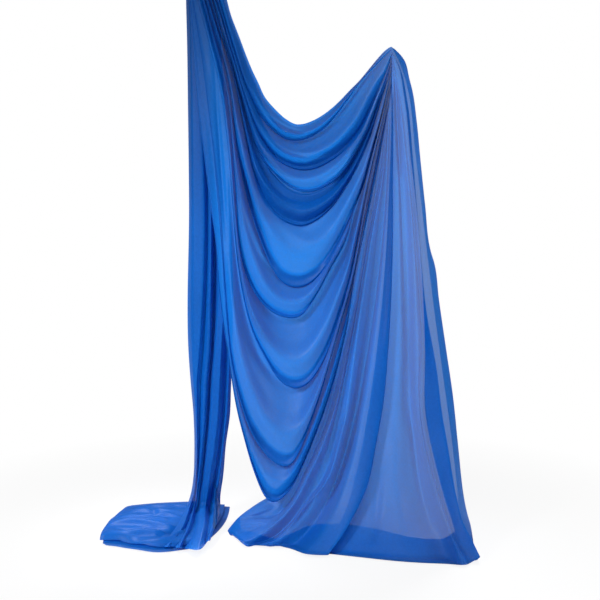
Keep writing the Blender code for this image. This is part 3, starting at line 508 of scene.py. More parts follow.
last_turn = turn_line + (lines[-1] - turn_line) * 0.55
knots.append(np.column_stack([last_turn, turn_forward - 0.004]))
parts.append(LAST_PARTS)
places = [np.arange(count) / count + index for index, count in enumerate(parts)]
places = np.concatenate(places + [[len(parts)]])
COLUMNS = len(places)
across = np.linspace(0, 1, COLUMNS)
swag_sheet = curve(np.arange(len(knots)), knots, places)

# The gather that the folds of the swag and of the fan run into where the cloth is held
gather_forward = 0.004 + 0.008 * np.sin(across * math.tau * 9) * np.clip(across * 3, 0, 1)
gather = np.column_stack([HELD_X + 0.4 * np.sin(across * 40),
                          HELD_Y + GATHER_REACH * across ** 1.2, gather_forward])
near = np.clip(1 - sweep / 0.045, 0, 1)[None, :, None] ** 2
swag_sheet = swag_sheet * (1 - near) + gather[:, None, :] * near
chance = np.random.default_rng(7)


def close_creases(count, paces, drifts, over, along):
    """A sum of waves over the cloth's width that drift a little along its length."""
    waves = 0
    for number in range(count):
        pace, drift = chance.uniform(*paces), chance.uniform(*drifts)
        phase = chance.uniform(0, 6.28)
        wave = np.sin(over[:, None] * pace * 2 + along[None] * drift + phase)
        waves = waves + wave * chance.uniform(0.3, 1)
    return waves


CREASE_HEIGHT = 0.0005
LIMB_CREASE_HEIGHT = 0.0006
LIMB_RIB_HEIGHT = 0.0110
creases = close_creases(14, (14, 60), (-7, 7), across, sweep)
free_share = np.clip(np.minimum(sweep / 0.04, (1 - sweep) / 0.1), 0, 1)
limb = np.abs(2 * sweep - 1)[None] ** 1.3 * free_share[None]
creases *= CREASE_HEIGHT * (0.35 + open_share[None]) + LIMB_CREASE_HEIGHT * limb
left_half = sweep[None] > 0.5
limb = limb * np.clip((0.80 - across[:, None]) * 12, 0.12, 1) ** left_half * (1 - 0.35 * left_half)
rib_phase = across[:, None] * 24 + sweep[None] * 1.5 + 0.8 * np.sin(across[:, None] * 9)
creases += LIMB_RIB_HEIGHT * limb * np.sin(rib_phase) ** 2


CREASE_STEPS = 24


def crease(sheet, line, height, width, bite):
    """How far the cloth stands out along a line over the sheet, fading at the line's two ends.
    Where the bite is over 1, one side falls away faster: in the picture, the line's right."""
    line = even(line, CREASE_STEPS)
    step = np.diff(line, axis=0)
    best = np.full(sheet.shape[:2], 1e9)
    out = np.zeros(sheet.shape[:2])
    for index, (start, move) in enumerate(zip(line[:-1], step)):
        offset = sheet[..., :2] - start
        along = np.clip((offset @ move) / (move @ move), 0, 1)
        away = offset - along[..., None] * move
        distance = np.hypot(away[..., 0], away[..., 1])
        side = move[0] * offset[..., 1] - move[1] * offset[..., 0]
        reach = width * np.where(side > 0, 1 / bite, 1.0)
        fade = np.sin(math.pi * np.clip((index + along) / (len(line) - 1), 0.0, 1.0)) ** 0.6
        value = np.exp(-(distance / reach) ** 2) * fade
        nearer = distance < best
        best = np.where(nearer, distance, best)
        out = np.where(nearer, value, out)
    return out * height


SMALL_FOLD_GAIN = 1.7
SMALL_FOLD_BREADTH = 0.9
# Smaller folds that die out within the panels: the line in pixels, its height in metres, its
# width in pixels and its bite
SMALL_FOLDS = [
    ([(243, 66), (254, 96), (268, 116), (283, 126), (300, 132), (314, 135)], -0.006, 2.4, 1.0),
    ([(250, 108), (262, 130), (275, 144), (290, 153), (303, 156), (322, 155), (339, 146),
      (355, 126)], -0.006, 2.6, 1.0),
    ([(252, 132), (262, 152), (273, 169), (285, 179), (298, 186)], 0.01, 4.0, 2.4),
    ([(249, 150), (258, 174), (269, 189), (284, 201), (307, 205)], 0.01, 4.5, 2.4),
    ([(247, 146), (256, 162), (266, 178), (283, 194)], -0.006, 2.4, 1.0),
    ([(353, 150), (346, 163), (336, 174), (322, 183)], 0.009, 4.0, 2.0),
    ([(379, 96), (377, 118), (368, 140), (355, 160), (333, 199)], -0.009, 3.0, 1.0),
    ([(386, 86), (378, 112), (371, 135), (362, 158), (350, 178)], 0.008, 3.0, 1.5),
    ([(390, 80), (386, 104), (381, 128), (365, 176), (352, 208), (339, 240)], 0.01, 3.2, 1.5),
    ([(393, 92), (388, 120), (384, 144), (374, 176), (366, 208), (360, 240)], -0.012, 3.2, 1.0),
    ([(376, 66), (368, 78), (356, 95), (343, 112), (330, 124)], 0.006, 3.0, 1.8),
    ([(243, 176), (250, 198), (258, 222), (270, 246)], -0.008, 3.4, 1.0),
    ([(262, 182), (272, 208), (290, 232), (312, 243), (330, 236)], 0.006, 9.0, 1.4),
    ([(246, 210), (256, 238), (268, 262), (284, 276)], 0.007, 4.0, 2.0),
    ([(350, 210), (340, 240), (326, 262), (308, 276)], 0.006, 4.0, 1.8),
    ([(250, 262), (262, 284), (276, 298), (292, 303), (308, 294)], 0.005, 6.0, 1.5),
    ([(247, 300), (258, 330), (272, 356), (290, 366), (308, 352), (322, 320)], 0.006, 9.0, 1.3),
    ([(252, 342), (262, 362), (274, 378)], -0.006, 3.0, 1.0),
    ([(246, 372), (256, 402), (268, 426), (284, 438), (300, 424)], 0.007, 8.0, 1.3),
    ([(340, 330), (330, 362), (318, 396), (306, 424)], 0.006, 4.0, 1.5),
    ([(246, 420), (256, 446), (268, 462)], 0.005, 4.0, 1.6),
    ([(212, 30), (216, 90), (220, 150), (226, 230), (231, 300), (236, 350)], -0.004, 2.6, 1.0),
    ([(224, 20), (226, 60), (229, 100), (234, 145), (243, 178), (254, 216)], -0.012, 3.0, 1.0),
    ([(206, 60), (213, 130), (219, 200), (225, 270), (229, 330)], 0.005, 5.0, 1.0),
    ([(231, 130), (240, 186), (250, 226), (262, 256)], 0.008, 4.0, 1.6),
]
for line, height, width, bite in SMALL_FOLDS:
    creases += SMALL_FOLD_GAIN * crease(swag_sheet, line, height, width * SMALL_FOLD_BREADTH, bite)
swag = hung(swag_sheet[..., 0], swag_sheet[..., 1], swag_sheet[..., 2] + creases, SWAG_LIFT)


RING_ARC = 320
RING_PLEATS = 30


def pleated_ring(start, leg_y, share):
    """Places round a leg of the hitch, in close pleats, which a tail's lines run out of."""
    angle = np.radians(start - RING_ARC * share)
    reach = BUNCH * (1 - 0.3 * (0.5 + 0.5 * np.sin(share * math.tau * RING_PLEATS)))
    return np.column_stack([LEG_X + reach * np.cos(angle), leg_y + reach * np.sin(angle)])


RIGHT_RING_START = 70
near = rise(sweep, 0.86, 0.14)[None, :, None] ** 1.5
ring = pleated_ring(RIGHT_RING_START, -LEG_Y, across)
swag[..., :2] = swag[..., :2] * (1 - near) + ring[:, None] * near
swag[:, -1, 2] = CLOTH_TOP

# The lines of the fan, from its right side round to its left edge: the place across the width
# whose depth a line takes, how far it stands out, its lift on the floor, and its run in pixels
FAN_LINES = [
    (0.97, -0.045, 0.003, [(HELD_X, 47), (397, 57), (406, 82), (415, 150), (425, 235),
     (435.5, 320), (445, 390), (453, 450), (458, 500), (459, 522)]),
    (1.0, -0.01, 0.003, [(HELD_X, 47), (394, 48), (399, 53), (404, 60), (409.5, 79.5), (412, 89),
     (416.5, 120), (420, 156), (425, 204), (431, 252), (434, 262), (439, 300), (446, 348),
     (453, 396), (458, 444), (463, 492), (466.8, 517)]),
    (0.8, -0.02, 0.004, [(HELD_X, 52), (397, 62), (404, 95), (411, 160), (418, 220), (423, 290),
     (425, 350), (425.5, 413), (437, 470), (450, 515), (464, 548), (476, 557)]),
    (0.8, 0.016, 0.01, [(HELD_X, 53), (399, 66), (407, 100), (413, 160), (419, 235), (426, 308),
     (437, 372), (442, 413), (447.5, 444.5), (457, 499), (463, 522), (472, 540), (480, 557)]),
    (0.74, -0.006, 0.006, [(HELD_X, 54), (397, 72), (404, 110), (410, 170), (415, 235),
     (420.5, 300), (424, 345), (424.5, 413), (434, 463), (447, 508), (460, 543), (472, 562)]),
    (0.66, 0.014, 0.01, [(HELD_X, 58), (395.5, 76), (400, 104), (404, 140), (409, 190),
     (413, 235), (416, 300), (417.5, 345), (418, 399), (428, 463), (441, 508), (451, 535),
     (463, 565)]),
    (0.58, -0.014, 0.004, [(HELD_X, 64), (395, 84), (397, 116), (399, 150), (402, 200),
     (405, 260), (408, 340), (409.5, 413), (413.6, 435.5), (421, 490), (430, 523), (441, 545),
     (447, 564)]),
    (0.49, 0.002, 0.006, [(HELD_X, 70), (394, 95), (396, 150), (397.5, 260), (397.5, 340),
     (394.5, 413), (391, 470), (391, 520), (395, 561)]),
    (0.41, -0.012, 0.004, [(HELD_X, 72), (HELD_X, 110), (389, 190), (385.5, 260), (378, 340),
     (368, 413), (357, 470), (344, 515), (325, 548), (320, 553)]),
    (0.36, 0.018, 0.012, [(HELD_X, 74), (393, 110), (393, 190), (392.5, 260), (389, 340),
     (382, 413), (377, 440), (366, 490), (356, 512), (342, 536), (328, 555)]),
    (0.25, 0.012, 0.012, [(HELD_X, 76), (390.5, 110), (388, 180), (382.5, 260), (374, 340),
     (363, 413), (352, 465), (338, 505), (320, 535), (306, 554)]),
    (0.18, -0.022, 0.004, [(HELD_X, 79), (389, 110), (386, 180), (379.4, 260), (368.5, 340),
     (356, 413), (345, 455), (328, 500), (308, 532), (290, 548.6)]),
    (0.1, 0.014, 0.02, [(HELD_X, 82), (387.5, 120), (383, 173), (370.5, 245), (362, 300),
     (355, 350), (346, 413), (340, 440), (326, 481), (306, 506), (290, 527), (276, 540),
     (266, 544)]),
    (0.06, -0.006, 0.006, [(HELD_X, 84), (386, 125), (380, 178), (367, 250), (358, 305),
     (349, 355), (337, 413), (327, 452), (312, 490), (298, 513), (284, 529), (268, 540),
     (252, 545.5)]),
    (0.03, 0.01, 0.03, [(HELD_X, 86), (384, 135), (377, 185), (365.5, 250), (354, 320),
     (346, 360), (334, 413), (320.4, 451), (304.3, 482.5), (291, 505.7), (277.5, 521),
     (266, 530), (254, 537), (243, 541)]),
    (0.0, -0.03, 0.012, [(HELD_X, 88), (382, 140), (374, 190), (363, 260), (349.3, 340),
     (331, 413), (315, 451), (304, 474), (293.6, 496), (283, 509), (270, 517), (252, 520),
     (240, 526), (231, 533)]),
    (0.0, -0.05, 0.024, [(HELD_X, 90), (379, 150), (369, 205), (359, 262), (343, 340),
     (322, 413), (306, 451), (292, 478), (278, 494), (264, 503), (248, 511), (237, 519),
     (228.5, 529)]),
    (0.0, -0.07, 0.006, [(HELD_X, 90), (378, 152), (367, 210), (357, 264), (340, 340),
     (318, 413), (302, 451), (290, 474), (278, 488), (268, 497), (258, 503), (248, 510),
     (240, 517)]),
]
# How far forward the fan stands, as shares of the curtain's depth: a row for each place across
# its width, left to right, with a value for each height from the floor up
HEIGHT_SHARES = [0.0, 0.06, 0.20, 0.40, 0.60, 0.80, 1.0]
WIDTH_SHARES = [0.0, 0.2, 0.4, 0.6, 0.8, 1.0]
FAN_FORWARD_SHARES = [
    [0.470, 0.405, 0.385, 0.270, 0.165, 0.065, 0.00],
    [0.685, 0.560, 0.385, 0.250, 0.150, 0.075, 0.00],
    [0.770, 0.600, 0.385, 0.235, 0.135, 0.060, 0.00],
    [0.990, 0.700, 0.420, 0.250, 0.135, 0.060, 0.00],
    [0.930, 0.700, 0.420, 0.230, 0.115, 0.040, -0.01],
    [-0.145, -0.140, -0.120, -0.100, -0.080, -0.060, -0.06],
]
PEAK_HEIGHT = 2.17
STAND_GAIN = 2.1
FAN_ROWS = 190
# Where across the cloth each line of the fan runs
FAN_PLACES = np.array([0, 0.03, 0.10, 0.15, 0.19, 0.27, 0.34, 0.43, 0.50, 0.55, 0.62, 0.68,
                       0.75, 0.80, 0.85, 0.91, 0.96, 1.0])

# The share of the way down each line, from where the cloth is held to the floor in front
fall = np.linspace(0, 1, FAN_ROWS)
fan_knots = []
for width_share, stand, lift, run in FAN_LINES:
    spots = even(run, FAN_ROWS)
    forwards = curve(WIDTH_SHARES, FAN_FORWARD_SHARES, np.array([width_share]))[0] * CURTAIN_DEPTH
    forward = np.zeros(FAN_ROWS)
    for nearing in range(5):
        z = seen(spots[:, 0], spots[:, 1], LEAN * (CLOTH_TOP + 2) - forward)[:, 2]
        share = np.clip((z - FLOOR) / PEAK_HEIGHT, 0, 1)
        forward = forward * 0.4 + curve(HEIGHT_SHARES, forwards, share) * 0.6
    stand_out = stand * STAND_GAIN * rise(fall, 0, 0.6) ** 0.7
    lift_run = np.full(FAN_ROWS, lift) * np.clip(fall * 2, 0, 1)
    fan_knots.append(np.column_stack([spots, forward + stand_out, lift_run]))
fan_sheet = curve(FAN_PLACES, fan_knots, across)
gather_lifted = np.column_stack([gather, np.zeros(COLUMNS)])
near = np.clip(1 - fall / 0.035, 0, 1)[None, :, None] ** 2
fan_sheet = fan_sheet * (1 - near) + gather_lifted[:, None, :] * near

FAN_CREASE_HEIGHT = 0.0006
FAN_PLEAT_HEIGHT = 0.0095
pleats = close_creases(16, (10, 55), (-5, 5), across, fall)
pleats *= FAN_CREASE_HEIGHT * np.clip(fall * 6, 0, 1)[None] * np.clip((1 - fall) * 6, 0.3, 1)[None]
bent = 1.1 * np.sin(fall[None] * 2.5 + across[:, None] * 7)
depth_down = np.clip(fall * 5, 0, 1) * np.clip(1.05 - fall * 1.25, 0.12, 1)
pleats += FAN_PLEAT_HEIGHT * np.abs(np.sin(across[:, None] * 36 + bent)) * depth_down[None]
FAN_FOLD_GAIN = 1.4
# The folds of the fan, given as the small folds are
FAN_FOLDS = [
    ([(364, 250), (357, 290), (343, 350), (327, 420), (315, 451), (304, 474), (294, 496),
      (283, 510), (273, 518), (254, 518)], -0.026, 3.2, 1.0),
    ([(352, 330), (335, 400), (320, 451), (304, 482), (291, 506), (277, 521), (268, 529),
      (258, 536), (246, 539)], 0.014, 4.2, 2.0),
    ([(336, 440), (329, 465), (316, 493), (304, 512), (291, 527), (277, 537), (266, 542)],
     -0.016, 3.0, 1.0),
    ([(352, 400), (341, 436), (326, 481), (306, 505), (290, 526), (276, 537)], 0.012, 4.0, 2.0),
    ([(365, 350), (356, 400), (345, 450), (330, 495), (312, 524), (298, 541)], -0.014, 3.4, 1.0),
    ([(240, 510), (250, 514), (262, 511), (272, 507)], 0.01, 3.0, 1.5),
    ([(233, 527), (246, 524), (262, 522), (276, 517)], 0.012, 3.4, 1.5),
    ([(236, 533), (250, 531), (264, 526)], -0.008, 2.6, 1.0),
    ([(395, 76), (396, 92), (396.5, 112), (398, 140), (400, 175)], -0.022, 2.0, 1.0),
    ([(386, 55), (388.5, 66), (391, 78)], -0.01, 2.0, 1.0),
    ([(397, 60), (400, 90), (404, 130), (409, 180), (413, 230)], 0.008, 4.0, 1.0),
    ([(390, 58), (391, 66), (392.5, 76), (394, 92)], 0.008, 3.0, 1.0),
    ([(393, 84), (391, 100), (387, 118), (383, 140), (379, 170)], 0.01, 2.2, 1.4),
    ([(396, 100), (395, 150), (394, 210), (391, 280), (386, 350)], 0.006, 2.6, 1.0),
    ([(405, 150), (407, 220), (409, 300), (410, 380), (414, 440), (421, 490), (432, 530)],
     -0.014, 3.2, 1.0),
    ([(419, 170), (421, 240), (425, 300)], -0.006, 2.4, 1.0),
    ([(398, 440), (397, 480), (402, 530)], 0.006, 6.0, 1.0),
    ([(380, 470), (376, 510), (372, 545)], -0.006, 5.0, 1.0),
]
lifted = np.zeros((COLUMNS, FAN_ROWS))
for line, height, width, bite in FAN_FOLDS:
    lifted += FAN_FOLD_GAIN * crease(fan_sheet, line, height, width, bite)
fan = hung(fan_sheet[..., 0], fan_sheet[..., 1], fan_sheet[..., 2] + pleats + lifted,
           np.maximum(fan_sheet[..., 3] + np.clip(lifted, -0.02, 0.03) * 0.8, 0.002))

# The end of the cloth, turned under on the floor: where it lies, right to left, in metres
HEM = [(1.21, 0.042), (1.20, 0.040), (1.14, -0.05), (1.10, -0.10), (1.08, -0.104),
       (1.00, -0.096), (0.93, -0.06), (0.82, 0.03), (0.72, 0.085), (0.66, 0.10), (0.58, 0.11),
       (0.52, 0.09), (0.46, 0.02), (0.42, -0.05), (0.38, -0.10), (0.33, -0.08), (0.27, -0.03),
       (0.24, 0.0)]
HEM_ROWS = 22
HEM_LIFT = 0.0012
hem = curve(FAN_PLACES, HEM, across)
front = fan[:, -1]
under = []
for row in range(1, HEM_ROWS + 1):
    way = row / HEM_ROWS
    spot = front[:, :2] + (hem - front[:, :2]) * way ** 1.15
    ripple = 0.0012 * (1 + np.sin(across * 90 + way * 7))
    ripple = ripple + 0.0015 * (1 + np.sin(way * 17 + across * 9))
    from_front = np.maximum(front[:, 2] - FLOOR, 0.001) * (1 - min(way * 9, 1))
    height = from_front + HEM_LIFT + ripple * min(1, way * 4) * 0.6
    under.append(np.column_stack([spot, FLOOR + height]))
under = np.array(under).transpose(1, 0, 2)


def cloth_piece(name, sheet):
    """A piece of the cloth through these points, which come column by column."""
    columns, rows = sheet.shape[:2]
    corner = (np.arange(columns - 1)[:, None] * rows + np.arange(rows - 1)[None]).ravel()
    faces = np.column_stack([corner, corner + 1, corner + rows + 1, corner + rows])
    return mesh_piece(name, sheet.reshape(-1, 3), faces, tricot)


right_tail = cloth_piece("right_tail", np.concatenate([swag[:, ::-1], fan[:, 1:], under], axis=1))
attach(right_tail, "silks")
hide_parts("right_tail_swag", "right_tail_curtain", "right_tail_pool")

# Left tail: the other end of the same cloth, gathered by the hitch into a narrow column of close
# pleats that falls straight down and spreads a little where it meets the pile on the floor.
COLUMN_ROWS = 160
FRONT_COLUMNS = 150
LEFT_HITCH_PX = 184.8
LEFT_HITCH_SPREAD = 5
LEFT_WAY_PY = -60
LEFT_RING_START = 250
# How high the foot lies on the pile by its place in the picture, and how much a line's lift counts
FOOT_PY = (500, 512, 530, 550)
FOOT_HEIGHTS = (0.064, 0.058, 0.044, 0.008)
LIFT_GAIN = 1.6
COLUMN_FORWARD = -0.030
COLUMN_CREASE_HEIGHT = 0.0007
PLEAT_HEIGHTS = [0, 60, 140, 220, 300, 353, 380, 415, 455, 475]


def pleat(places, foot):
    """A pleat's run in pixels: its place across at the common heights, then its foot's points."""
    return list(zip(places, PLEAT_HEIGHTS)) + foot


# The lines of the pleats, left to right: how far each stands out, its lift on the pile, and its
# run in pixels of the picture
COLUMN_LINES = [
    (-0.034, 0.002, [(186, 0), (187, 40), (188, 110), (189, 200), (189, 360), (190.5, 380),
     (193.5, 415), (194.3, 455), (193.6, 475), (191, 493), (186, 508), (176, 527), (160, 545)]),
    (0.002, 0.006, pleat([190, 191.5, 193, 194, 194, 194, 193.5, 195.5, 196, 195.2],
     [(193, 493), (188, 508), (179, 527), (163, 546)])),
    (0.012, 0.01, pleat([195, 198, 202, 204, 202, 199, 197, 197, 197, 196],
     [(194, 493), (189.5, 508), (182, 528), (167, 547)])),
    (-0.012, 0.0, pleat([197, 200, 205.5, 207, 205.3, 202.3, 200, 199, 198, 196.8],
     [(194.8, 495), (192, 510), (186, 528), (173, 547)])),
    (0.006, 0.012, pleat([200, 203, 208, 210, 209, 207, 204.5, 203, 200.5, 198.5],
     [(196, 495), (193.5, 510), (189, 526), (178, 548)])),
    (-0.002, 0.004, pleat([202, 205, 209.5, 212, 211.6, 210.2, 207.8, 205.8, 202.5, 200.2],
     [(197.5, 495), (195, 510), (192, 526), (181, 548)])),
    (-0.048, 0.0, pleat([203, 206, 210.5, 214, 214, 212, 210, 208, 204.5, 202],
     [(199, 496), (197, 512), (194, 527), (184, 548.5)])),
    (0.002, 0.012, pleat([205, 208, 213, 217, 218, 214.6, 212.4, 210.5, 206.5, 204.2],
     [(201.5, 495), (200, 512), (198.5, 525), (189, 549)])),
    (0.014, 0.016, pleat([208, 211, 216, 221, 223, 220, 218.5, 216.5, 212, 209],
     [(206.5, 495), (204, 512), (203, 525), (196, 550)])),
    (0.008, 0.012, pleat([210, 213, 218, 223, 225, 223, 222, 220.5, 216.5, 213.5],
     [(209.5, 495), (206.5, 512), (205.5, 525), (201, 549)])),
    (-0.022, 0.0, pleat([213, 216, 221, 225, 228, 226, 225, 223, 219, 216],
     [(212, 495), (210, 510), (209, 525), (205, 545)])),
    (-0.004, 0.008, pleat([216, 219, 224, 228, 231, 229.5, 228.5, 226.5, 222, 219.5],
     [(216, 495), (214.5, 508), (212.5, 522), (208, 541)])),
    (-0.03, 0.002, [(218, 0), (222, 60), (227, 140), (231, 220), (233, 300), (232, 360),
     (231, 389), (230, 415), (226, 444), (223, 478), (220.5, 495), (220, 508), (217, 522),
     (210, 541)]),
]

# The share of the way down each line, from the hitch
drop = np.linspace(0, 1, COLUMN_ROWS)
opened = rise(drop, 0, 0.3)
column_knots = []
for number, (stand, lift, run) in enumerate(COLUMN_LINES):
    share = number / (len(COLUMN_LINES) - 1)
    top = (LEFT_HITCH_PX + LEFT_HITCH_SPREAD * share, HITCH_PY)
    far = (run[0][0] * 0.4 + top[0] * 0.6, LEFT_WAY_PY)
    spots = even([top, far] + run, COLUMN_ROWS)
    rest = np.interp(spots[:, 1], FOOT_PY, FOOT_HEIGHTS) + lift * LIFT_GAIN
    column_knots.append(np.column_stack([spots, COLUMN_FORWARD + stand * opened, rest]))
sheets = [curve(np.linspace(0, 1, len(COLUMN_LINES)), column_knots,
                np.linspace(0, 1, FRONT_COLUMNS))]

# Behind the pleats that show, the rest of the width goes to and fro in narrower layers, whose
# left and right ends run down these lines
HIDDEN_LAYERS = 6
LAYER_COLUMNS = 36
LAYER_HEIGHT = 0.052
LAYER_GAP = 0.005
LAYER_SWAY = 0.005
FIRST_LAYER_FORWARD = -0.040
OPENED_BACK = 0.042
INNER_LEFT = [(LEFT_HITCH_PX, HITCH_PY), (186, LEFT_WAY_PY), (188, 0), (190, 200), (191, 360),
              (195, 415), (196.5, 475), (196, 499)]
INNER_RIGHT = [(LEFT_HITCH_PX + LEFT_HITCH_SPREAD, HITCH_PY), (203, LEFT_WAY_PY), (216, 0),
               (225, 200), (222, 360), (219, 415), (216, 475), (217, 499)]
inner_left = even(INNER_LEFT, COLUMN_ROWS)
inner_right = even(INNER_RIGHT, COLUMN_ROWS)
for layer in range(HIDDEN_LAYERS):
    inset = 0.05 + 0.03 * layer
    run = np.linspace(1 - inset, inset * 0.6, LAYER_COLUMNS)
    run = run if layer % 2 == 0 else run[::-1]
    finish = rise(drop, 0.9, 0.1)[None, :, None] * np.array([0, 4.0 * (layer % 3)])
    spots = finish + inner_left[None] * (1 - run[:, None, None])
    spots = spots + inner_right[None] * run[:, None, None]
    sway = np.sin(run[:, None] * (17 + 4 * layer) + drop[None] * 3 + layer * 2) * LAYER_SWAY
    back = FIRST_LAYER_FORWARD - OPENED_BACK * opened[None] - LAYER_GAP * layer
    back = back + sway * (0.3 + 0.7 * opened[None])
    heights = np.full(back.shape, LAYER_HEIGHT)
    sheets.append(np.concatenate([spots, back[..., None], heights[..., None]], axis=2))
column_sheet = np.concatenate(sheets)
column_across = np.linspace(0, 1, len(column_sheet))
pleats = close_creases(12, (30, 90), (-4, 4), column_across, drop)
column_sheet[..., 2] += pleats * COLUMN_CREASE_HEIGHT
column = hung(*np.moveaxis(column_sheet, 2, 0))
near = np.clip(1 - drop / 0.14, 0, 1)[None, :, None] ** 1.5
ring = pleated_ring(LEFT_RING_START, LEG_Y, column_across)
column[..., :2] = column[..., :2] * (1 - near) + ring[:, None] * near
column[:, 0, 2] = CLOTH_TOP
left_tail = cloth_piece("left_tail_column", column)
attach(left_tail, "silks")
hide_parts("left_tail")

# The pile: the end of the left tail, of the same tricot, laid to and fro on the floor in thin
# plies. They lie loose, the upper ones crumpled, and two of them have a rolled front.
PLIES = 7
PLY_RISE = 0.0074
PILE_RIBS = 90
PLY_COLUMNS = 60
WRINKLE_HEIGHT = 0.0030
PILE_LIFT = 0.0025
LEAST_LIFT = 0.0015
BULGE_LEFT = 0.012
BULGE_RIGHT = 0.030
# The pile's front and back edge, left to right, in metres on the floor
PILE_FRONT = [(-0.408, -0.160), (-0.300, -0.205), (-0.152, -0.262), (-0.030, -0.228),
              (0.045, -0.188)]
PILE_BACK = [(-0.362, 0.268), (-0.240, 0.312), (-0.120, 0.335), (0.000, 0.350), (0.122, 0.365)]
# How much of the pile's width each ply leaves out at its left and right, and of its depth in front
PLY_LEFT = [0.035, 0.028, 0.028, 0.035, 0.035, 0.000, 0.000]
PLY_RIGHT = [0.000, 0.000, 0.050, 0.050, 0.110, 0.110, 0.170]
PLY_FRONT = [0.030, 0.022, 0.016, 0.000, 0.050, 0.044, 0.012]
ROLLED_PLIES = (3, 6)
ROLLED_RADIUS = 0.017
PLY_BLUR = np.ones(7) / 7
edge_places = np.linspace(0, 1, len(PILE_FRONT))
sides, levels, setbacks = [], [], []
for ply in range(PLIES):
    run = np.linspace(PLY_LEFT[ply], 1 - PLY_RIGHT[ply], PLY_COLUMNS)
    sides.append(run if ply % 2 == 0 else run[::-1])
    levels.append(np.full(PLY_COLUMNS, ply * PLY_RISE))
    setbacks.append(np.full(PLY_COLUMNS, PLY_FRONT[ply]))
ply_number = np.repeat(np.arange(PLIES), PLY_COLUMNS)
sides = np.concatenate(sides)
levels = np.convolve(np.pad(np.concatenate(levels), 3, mode="edge"), PLY_BLUR, mode="valid")
setbacks = np.convolve(np.pad(np.concatenate(setbacks), 3, mode="edge"), PLY_BLUR, mode="valid")
ribs = np.linspace(0, 1, PILE_RIBS)[:, None] ** 1.2
front_edge = curve(edge_places, PILE_FRONT, sides)[None]
back_edge = curve(edge_places, PILE_BACK, sides)[None]
way = (setbacks[None] + ribs * (1 - setbacks[None]))[..., None]
spots = front_edge * (1 - way) + back_edge * way
bulge = BULGE_RIGHT * sides - BULGE_LEFT * (1 - sides)
spots[..., 0] += bulge[None] * np.sin(math.pi * way[..., 0])
wrinkle = np.zeros((PILE_RIBS, len(sides)))
for number in range(12):
    pace, drift, phase = chance.uniform(6, 30), chance.uniform(-5, 5), chance.uniform(0, 6.28)
    wave = np.sin(ribs * pace + sides[None] * drift + phase) * chance.uniform(0.3, 1)
    wrinkle += wave * 7 / (4 + pace)
top_share = (levels / levels.max())[None] ** 1.6
inner = np.sin(math.pi * np.clip(ribs, 0, 1)) ** 0.4
height = FLOOR + PILE_LIFT + levels[None] * (0.80 + 0.20 * inner)
height = height + WRINKLE_HEIGHT * (wrinkle + 1.2) * top_share * inner
PILE_FOLD_GAIN = 1.6
# The creases of the pile in metres on the floor, each with its height, width and bite
PILE_FOLDS = [
    ([(-0.399, -0.042), (-0.294, -0.033), (-0.175, -0.062), (-0.093, -0.078)], 0.017, 0.022, 2.0),
    ([(-0.391, -0.123), (-0.308, -0.175), (-0.204, -0.166), (-0.103, -0.166)], 0.016, 0.024, 1.6),
    ([(-0.339, 0.156), (-0.229, 0.136), (-0.142, 0.118), (-0.06, 0.11)], 0.015, 0.026, 1.6),
    ([(-0.373, 0.078), (-0.259, 0.031), (-0.136, 0.031)], 0.014, 0.022, 1.5),
    ([(-0.32, 0.216), (-0.247, 0.176), (-0.195, 0.069)], -0.007, 0.016, 1.0),
    ([(-0.15, -0.2), (-0.113, -0.175), (-0.078, -0.105), (-0.04, -0.06)], -0.012, 0.018, 1.0),
    ([(-0.294, -0.22), (-0.205, -0.24), (-0.13, -0.235), (-0.073, -0.19)], 0.008, 0.02, 1.0),
    ([(-0.37, 0.02), (-0.3, -0.01), (-0.21, -0.01), (-0.12, -0.025)], 0.008, 0.012, 1.4),
    ([(-0.3, 0.11), (-0.22, 0.08), (-0.15, 0.085), (-0.08, 0.06)], 0.008, 0.012, 1.4),
    ([(-0.36, -0.09), (-0.29, -0.11), (-0.2, -0.105), (-0.11, -0.12)], -0.006, 0.012, 1.0),
    ([(-0.28, 0.25), (-0.2, 0.225), (-0.12, 0.235), (-0.04, 0.215)], 0.01, 0.016, 1.4),
    ([(-0.13, -0.215), (-0.098, -0.165), (-0.06, -0.12)], 0.009, 0.009, 1.2),
    ([(-0.09, -0.21), (-0.062, -0.17), (-0.03, -0.14)], 0.009, 0.009, 1.2),
]
for line, swell, width, bite in PILE_FOLDS:
    height = height + PILE_FOLD_GAIN * crease(spots, line, swell, width, bite) * top_share
curl = np.clip(1 - ribs / 0.045, 0, 1) * math.pi / 2 * np.isin(ply_number, ROLLED_PLIES)[None]
spots[..., 1] -= ROLLED_RADIUS * np.sin(curl)
height -= ROLLED_RADIUS * (1 - np.cos(curl))
pile = np.concatenate([spots, np.maximum(height, FLOOR + LEAST_LIFT)[..., None]], axis=2)
left_pile = cloth_piece("left_tail_pile_folds", pile)
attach(left_pile, "silks")
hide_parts("left_tail_pile")

# The hitch: the middle of the cloth, bunched into a thick cord of fine pleats that goes through
# the figure eight's large ring and round its waist, where the weight of both tails holds it.
WAIST_HALF = 0.0065
WAIST_GAP = 0.0003
WRAP = WAIST_HALF + BUNCH + WAIST_GAP
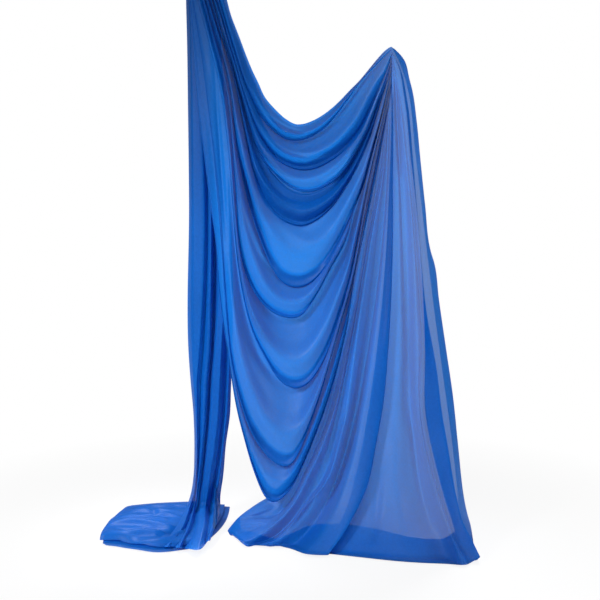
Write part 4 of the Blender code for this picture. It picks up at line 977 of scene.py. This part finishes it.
# Along half the cord: its reach to the right or left in wraps, its drop in bunch radii below a
# level in metres, and its spread to the back
HITCH_REACH = [-0.80, -1.08, -0.85, 0.12, 1.00, 1.04, 0.10, -0.92, -1.10]
HITCH_DROP = [0.0, -2.09, 0.90, 1.90, 0.90, 0.30, -0.05, -0.10, 0.0]
HITCH_LEVELS = [-0.4300, -0.4300, -0.370, -0.340, -0.340, -0.3263, -0.3263, -0.3263, -0.3263]
HITCH_SPREADS = [LEG_Y, LEG_Y, LEG_Y, LEG_Y, 0.01748, 0.0265, 0.0390, 0.0280, 0.0]
half_route = [(WRAP * reach, spread, level - BUNCH * drop) for reach, spread, level, drop in
              zip(HITCH_REACH, HITCH_SPREADS, HITCH_LEVELS, HITCH_DROP)]
route = np.array(half_route + [(x, -y, z) for x, y, z in reversed(half_route[:-1])])
HITCH_STEPS = 180
BUNCH_PLEATS = 84
PLEAT_DEPTH = 0.68
BUNCH_SIDES = BUNCH_PLEATS * 6 + 1
path = curve(np.arange(len(route)), route, np.linspace(0, len(route) - 1, HITCH_STEPS))
forwards = np.gradient(path, axis=0)
forwards /= np.linalg.norm(forwards, axis=1)[:, None]
sideways = np.array([0.0, 1.0, 0.0])
turn = np.linspace(0, math.tau, BUNCH_SIDES)
pleat_fall = np.abs((turn * BUNCH_PLEATS / math.tau) % 1 * 2 - 1)
rows = []
for step in range(HITCH_STEPS):
    sideways = sideways - forwards[step] * sideways.dot(forwards[step])
    sideways /= np.linalg.norm(sideways)
    upward = np.cross(forwards[step], sideways)
    way = step / HITCH_STEPS
    drift = turn + 0.05 * np.sin(turn * 7 + way * 30)
    outside = 0.93 + 0.045 * np.sin(turn * 11 + way * 9) + 0.02 * np.sin(turn * 5 - way * 30)
    radius = BUNCH * (outside - PLEAT_DEPTH * pleat_fall)
    rows.append(path[step] + np.cos(drift)[:, None] * radius[:, None] * sideways
                + np.sin(drift)[:, None] * radius[:, None] * upward)
silk_bunch = cloth_piece("silk_bunch", np.array(rows))
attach(silk_bunch, "silks")
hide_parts("silk_hitch")
